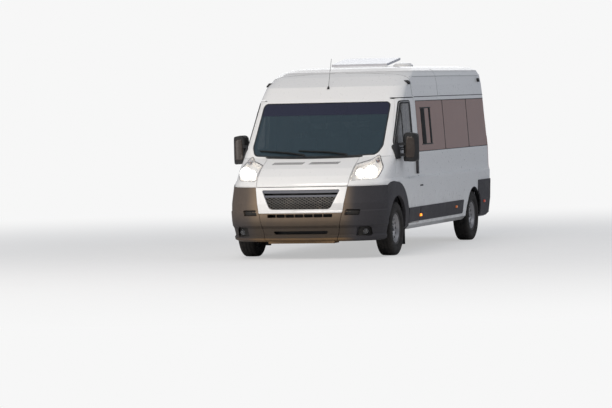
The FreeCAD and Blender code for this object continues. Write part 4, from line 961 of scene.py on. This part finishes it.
def add_tail_lamps():
    """Four ribbed lens zones on each tail lamp."""
    surface = seen("rear", "tail_lamps")
    for side in (1, -1):
        for low, high, material in TAIL_ZONES:
            corners = ((TAIL_INNER, low), (TAIL_OUTER, low), (TAIL_OUTER, high), (TAIL_INNER, high))
            zone = outline([(side * y, z, TAIL_CORNER) for y, z in corners])
            laid(f"tail_lens_{side}_{low}", [zone], surface, material, lift=0.0015, thick=0.003)


def add_mirror_details():
    """Gloss panel on the front of each mirror's shell, its brown tint partly a painted reflection, and its
    glass.
    """
    for side, name in SIDES:
        shell, door = "mirror_" + name, "door_" + name
        laid(shell + "_front", [mirrored(side, MIRROR_FRONT)], seen("front", shell), "gloss_brown", door,
             lift=0.001, thick=0.003)
        laid(shell + "_glass", [mirrored(side, MIRROR_GLASS)], seen("rear", shell), "mirror", door,
             lift=0.0015, thick=0.003, cell=0.05)


def add_mud_flaps():
    """Rubber flaps behind the front wheels."""
    for side in (1, -1):
        low, high = sorted((side * 0.812, side * 0.985))
        flap = block((1.572, low, 0.118), (1.583, high, 0.345), 0.004, 2, "seal")
        rib = block((1.568, low + 0.012, 0.122), (1.587, high - 0.012, 0.136), 0.004, 2, "seal")
        add_mesh(f"mud_flap_{side}", [flap, rib])


# Half of a tyre's section, from the bead to the middle groove: radius, and distance from the middle plane
TYRE_HALF = [(0.186, -0.067), (0.205, -0.079), (0.214, -0.0905), (0.24, -0.1045), (0.279, -0.1072),
             (0.305, -0.104), (0.322, -0.097), (0.3335, -0.088), (0.3385, -0.076), (0.34, -0.052),
             (0.34, -0.05), (0.333, -0.048), (0.333, -0.042), (0.3408, -0.04), (0.3409, -0.006),
             (0.334, -0.0045)]
TYRE_STEPS, SHOULDER_CUT, RIB_CUT = 144, 0.0065, 0.004
WHEEL_BOLTS, BOLT_CIRCLE, VALVE_CIRCLE, VENTS, VENT_CIRCLE = 5, 0.064, 0.165, 12, 0.128


def tread_tyre(x, y):
    """A tyre with three ring grooves, cut shoulders and ribs, as points and faces."""
    profile = TYRE_HALF + [(r, -w) for r, w in TYRE_HALF][::-1]
    shoulder = {i for i, (r, w) in enumerate(profile) if abs(w) > 0.052 and r > 0.33}
    rib = {i for i, (r, w) in enumerate(profile) if 0.005 < abs(w) < 0.0405 and r > 0.338}
    points = []
    for step, turn in enumerate(circle(TYRE_STEPS)):
        for index, (radius, across) in enumerate(profile):
            if index in shoulder and step % 4 == 0:
                radius -= SHOULDER_CUT
            if index in rib and step % 6 == (0 if across > 0 else 3):
                radius -= RIB_CUT
            points.append((x + radius * sin(turn), y + across, HUB + radius * cos(turn)))
    faces = net(TYRE_STEPS + 1, len(profile), closed=False)
    return points, [[i % len(points) for i in face] for face in faces]


def add_wheels():
    """Treaded tyres, and on each disc bolts, a centre cap, a valve and near-black ovals over the vents,
    painted shade of their openings.
    """
    for name, (x, y) in AXLES.items():
        body = name + "_wheel"
        out = 1 if y > 0 else -1

        def on_disc(circle_radius, turn, lift):
            return (x + circle_radius * sin(turn), y + out * lift, HUB + circle_radius * cos(turn))

        tyre = add_mesh("tread_" + name, [(*tread_tyre(x, y), "tyre_rubber")], body, 28)
        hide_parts("tyre_" + name)
        bolt = [(0, 0.017), (0.007, 0.017), (0.0115, 0.014), (0.0125, 0), (0.016, -0.003)]
        places = [on_disc(BOLT_CIRCLE, turn + pi / WHEEL_BOLTS, 0.033) for turn in circle(WHEEL_BOLTS)]
        parts = [turned(bolt, place, (0, out, 0), 6, "steel") for place in places]
        parts.append(turned([(0, 0.011), (0.018, 0.0105), (0.03, 0.008), (0.035, 0.003), (0.036, 0)],
                            on_disc(0, 0, 0.038), (0, out, 0), 32, "dark_plastic"))
        parts.append(turned([(0, 0.03), (0.004, 0.03), (0.0045, 0.012), (0.006, 0)],
                            on_disc(VALVE_CIRCLE, 0.5, 0.03), (0, out, 0.1), 10, "black_plastic"))
        add_mesh("wheel_details_" + name, parts, body, 30)
        vents = []
        for turn in circle(VENTS):
            spoke, across = Vector((sin(turn), cos(turn))), Vector((cos(turn), -sin(turn)))
            middle = Vector((x, HUB)) + spoke * VENT_CIRCLE
            vents.append([middle + spoke * (0.013 * cos(t)) + across * (0.019 * sin(t)) for t in circle(16)])
        # Painted shade: near-black ovals over the vents
        disc = seen("left" if out > 0 else "right", "wheel_" + name)
        laid("wheel_vents_" + name, vents, disc, "hollow", body, cell=0.02)


PAD_VOXEL, PAD_PRESSURE, PAD_FRAMES = 0.016, 4, 14
SEWN_AT, SEWN_DEPTH, SEWN_WIDTH = (-0.115, 0.115), 0.008, 0.02
SEAT_WIDTH, BACK_TALL, BACK_FOOT, HALF_PLACE = 0.42, 0.51, 0.112, 0.22
# kind, x, y of the middle, places side by side, width of a place, height of the seat, rise of the backrest
SEAT_ROWS = [("front", 1.08, 0.43, 1, 0.5, 0.9, 0.62), ("front", 1.08, -0.35, 2, 0.45, 0.9, 0.62)]
ROWS, ROW_X, ROW_PITCH = 4, 0.12, 0.76
SIDE_SETS = [(0.64 - HALF_PLACE, 2), (-0.66, 1)]
LAST_SETS = [(0.67 - HALF_PLACE, 2), (-0.67 + HALF_PLACE, 2)]


def swollen(name, size_low, size_high, corner, cap):
    """A rounded pad, remeshed and blown up by cloth simulation, with a limit to each point's travel."""
    obj = add_object(name, as_mesh(name, rounded_box(size_low, size_high, corner, 3)))
    modify(obj, "REMESH", mode="VOXEL", voxel_size=PAD_VOXEL)
    mesh = baked(obj)
    rest = [v.co.copy() for v in mesh.vertices]
    obj.data = mesh
    settings = assign(obj.modifiers.new("cloth", "CLOTH").settings, use_pressure=True,
                      uniform_pressure_force=PAD_PRESSURE)
    settings.effector_weights.gravity = 0
    for step in range(1, PAD_FRAMES + 1):
        scene.frame_set(step)
    mesh = baked(obj)
    scene.frame_set(1)
    for vert, start in zip(mesh.vertices, rest):
        travel = vert.co - start
        if travel.length > cap:
            vert.co = start + travel * (cap / travel.length)
    bpy.data.objects.remove(obj)
    return mesh


def baked(obj):
    """The object's mesh with its modifiers applied, which it then no longer has."""
    bpy.context.view_layer.update()
    mesh = bpy.data.meshes.new_from_object(obj.evaluated_get(bpy.context.evaluated_depsgraph_get()))
    obj.modifiers.clear()
    return mesh


def sewn(mesh):
    """Presses two sewn channels into a pad, from front to back."""
    for vert in mesh.vertices:
        for at in SEWN_AT:
            distance = abs(vert.co.y - at) / SEWN_WIDTH
            if distance < 1:
                vert.co -= vert.normal * SEWN_DEPTH * (1 - distance) ** 2
    return mesh


def add_seats():
    """Seats: one simulated cushion, backrest and head restraint, placed on every seat."""
    cushion = sewn(swollen("cushion_form", (-0.212, -0.19, 0.012), (0.212, 0.19, 0.098), 0.035, 0.012))
    back = sewn(swollen("back_form", (-0.036, -0.19, -0.245), (0.036, 0.19, 0.245), 0.026, 0.01))
    head = swollen("head_form", (-0.032, -0.115, -0.068), (0.032, 0.115, 0.068), 0.028, 0.008)
    rows = SEAT_ROWS[:]
    for index in range(ROWS):
        for y, count in (SIDE_SETS if index < ROWS - 1 else LAST_SETS):
            rows.append(("row", ROW_X - ROW_PITCH * index, y, count, 0.44, 0.96, 0.66))
    replaced = {"front": "front_seats", "row": "passenger_seats"}
    smooth = 1
    move = Matrix.Translation
    for number, (kind, x, y, count, width, height, rise) in enumerate(rows):
        wide = width / SEAT_WIDTH
        lean = Matrix.Rotation(atan2(-0.08, rise - BACK_FOOT), 4, "Y")
        tall = (rise - BACK_FOOT - 0.02) / BACK_TALL
        fitted = Matrix.Diagonal((1, wide, tall, 1))
        back_height = height + BACK_FOOT + (rise - BACK_FOOT) / 2
        for place in range(count):
            at = y + (place - (count - 1) / 2) * width
            forms = [("cushion", cushion, move((x, at, height)) @ Matrix.Diagonal((1.02, wide, 1, 1))),
                     ("back", back, move((x - 0.22, at, back_height)) @ lean @ fitted),
                     ("head", head, move((x - 0.275, at, height + rise + 0.11)))]
            for part, mesh, matrix in forms:
                copy = mesh.copy()
                copy.transform(matrix)
                obj = finish_piece(f"seat_{part}_{number}_{place}", copy, ["seat_cloth"], "body", 80)
                modify(obj, "SUBSURF", levels=smooth, render_levels=smooth)
                if kind in replaced:
                    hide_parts(replaced.pop(kind))
            feet = [Vector((x - 0.262, at + offset, height + rise - 0.06)) for offset in (-0.06, 0.06)]
            posts = [tube([foot, foot + Vector((-0.01, 0, 0.135))], 0.006, "chrome") for foot in feet]
            add_mesh(f"seat_posts_{number}_{place}", posts)


def add_dashboard_details():
    """Air vents, centre stack and instrument hood."""
    parts = []
    for y in (-0.74, -0.18, 0.02, 0.74):
        parts.append(block((1.64, y - 0.055, 1.12), (1.672, y + 0.055, 1.18), 0.008, 2, "black_plastic"))
        for z in (1.135, 1.15, 1.165):
            blade = (1.634, y - 0.047, z - 0.0025), (1.642, y + 0.047, z + 0.0025)
            parts.append(block(*blade, 0.001, 1, "dark_plastic"))
    parts += [block((1.652, -0.17, 0.93), (1.69, 0.02, 1.1), 0.01, 2, "black_plastic"),
              block((1.6, 0.27, 1.2), (1.76, 0.59, 1.262), 0.025, 4, "cabin_plastic")]
    add_mesh("dashboard_details", parts)


for step in (add_camera, add_stage, dress_nodes, add_windscreen, add_wipers, add_bonnet_slots, add_headlamps,
             add_bumper_depths, add_side_glass, add_door_glass, add_body_lines, add_handles, add_rear_glass,
             add_tail_lamps, add_mirror_details, add_mud_flaps, add_wheels, add_seats, add_dashboard_details):
    step()
scene.view_settings.view_transform = "Standard"
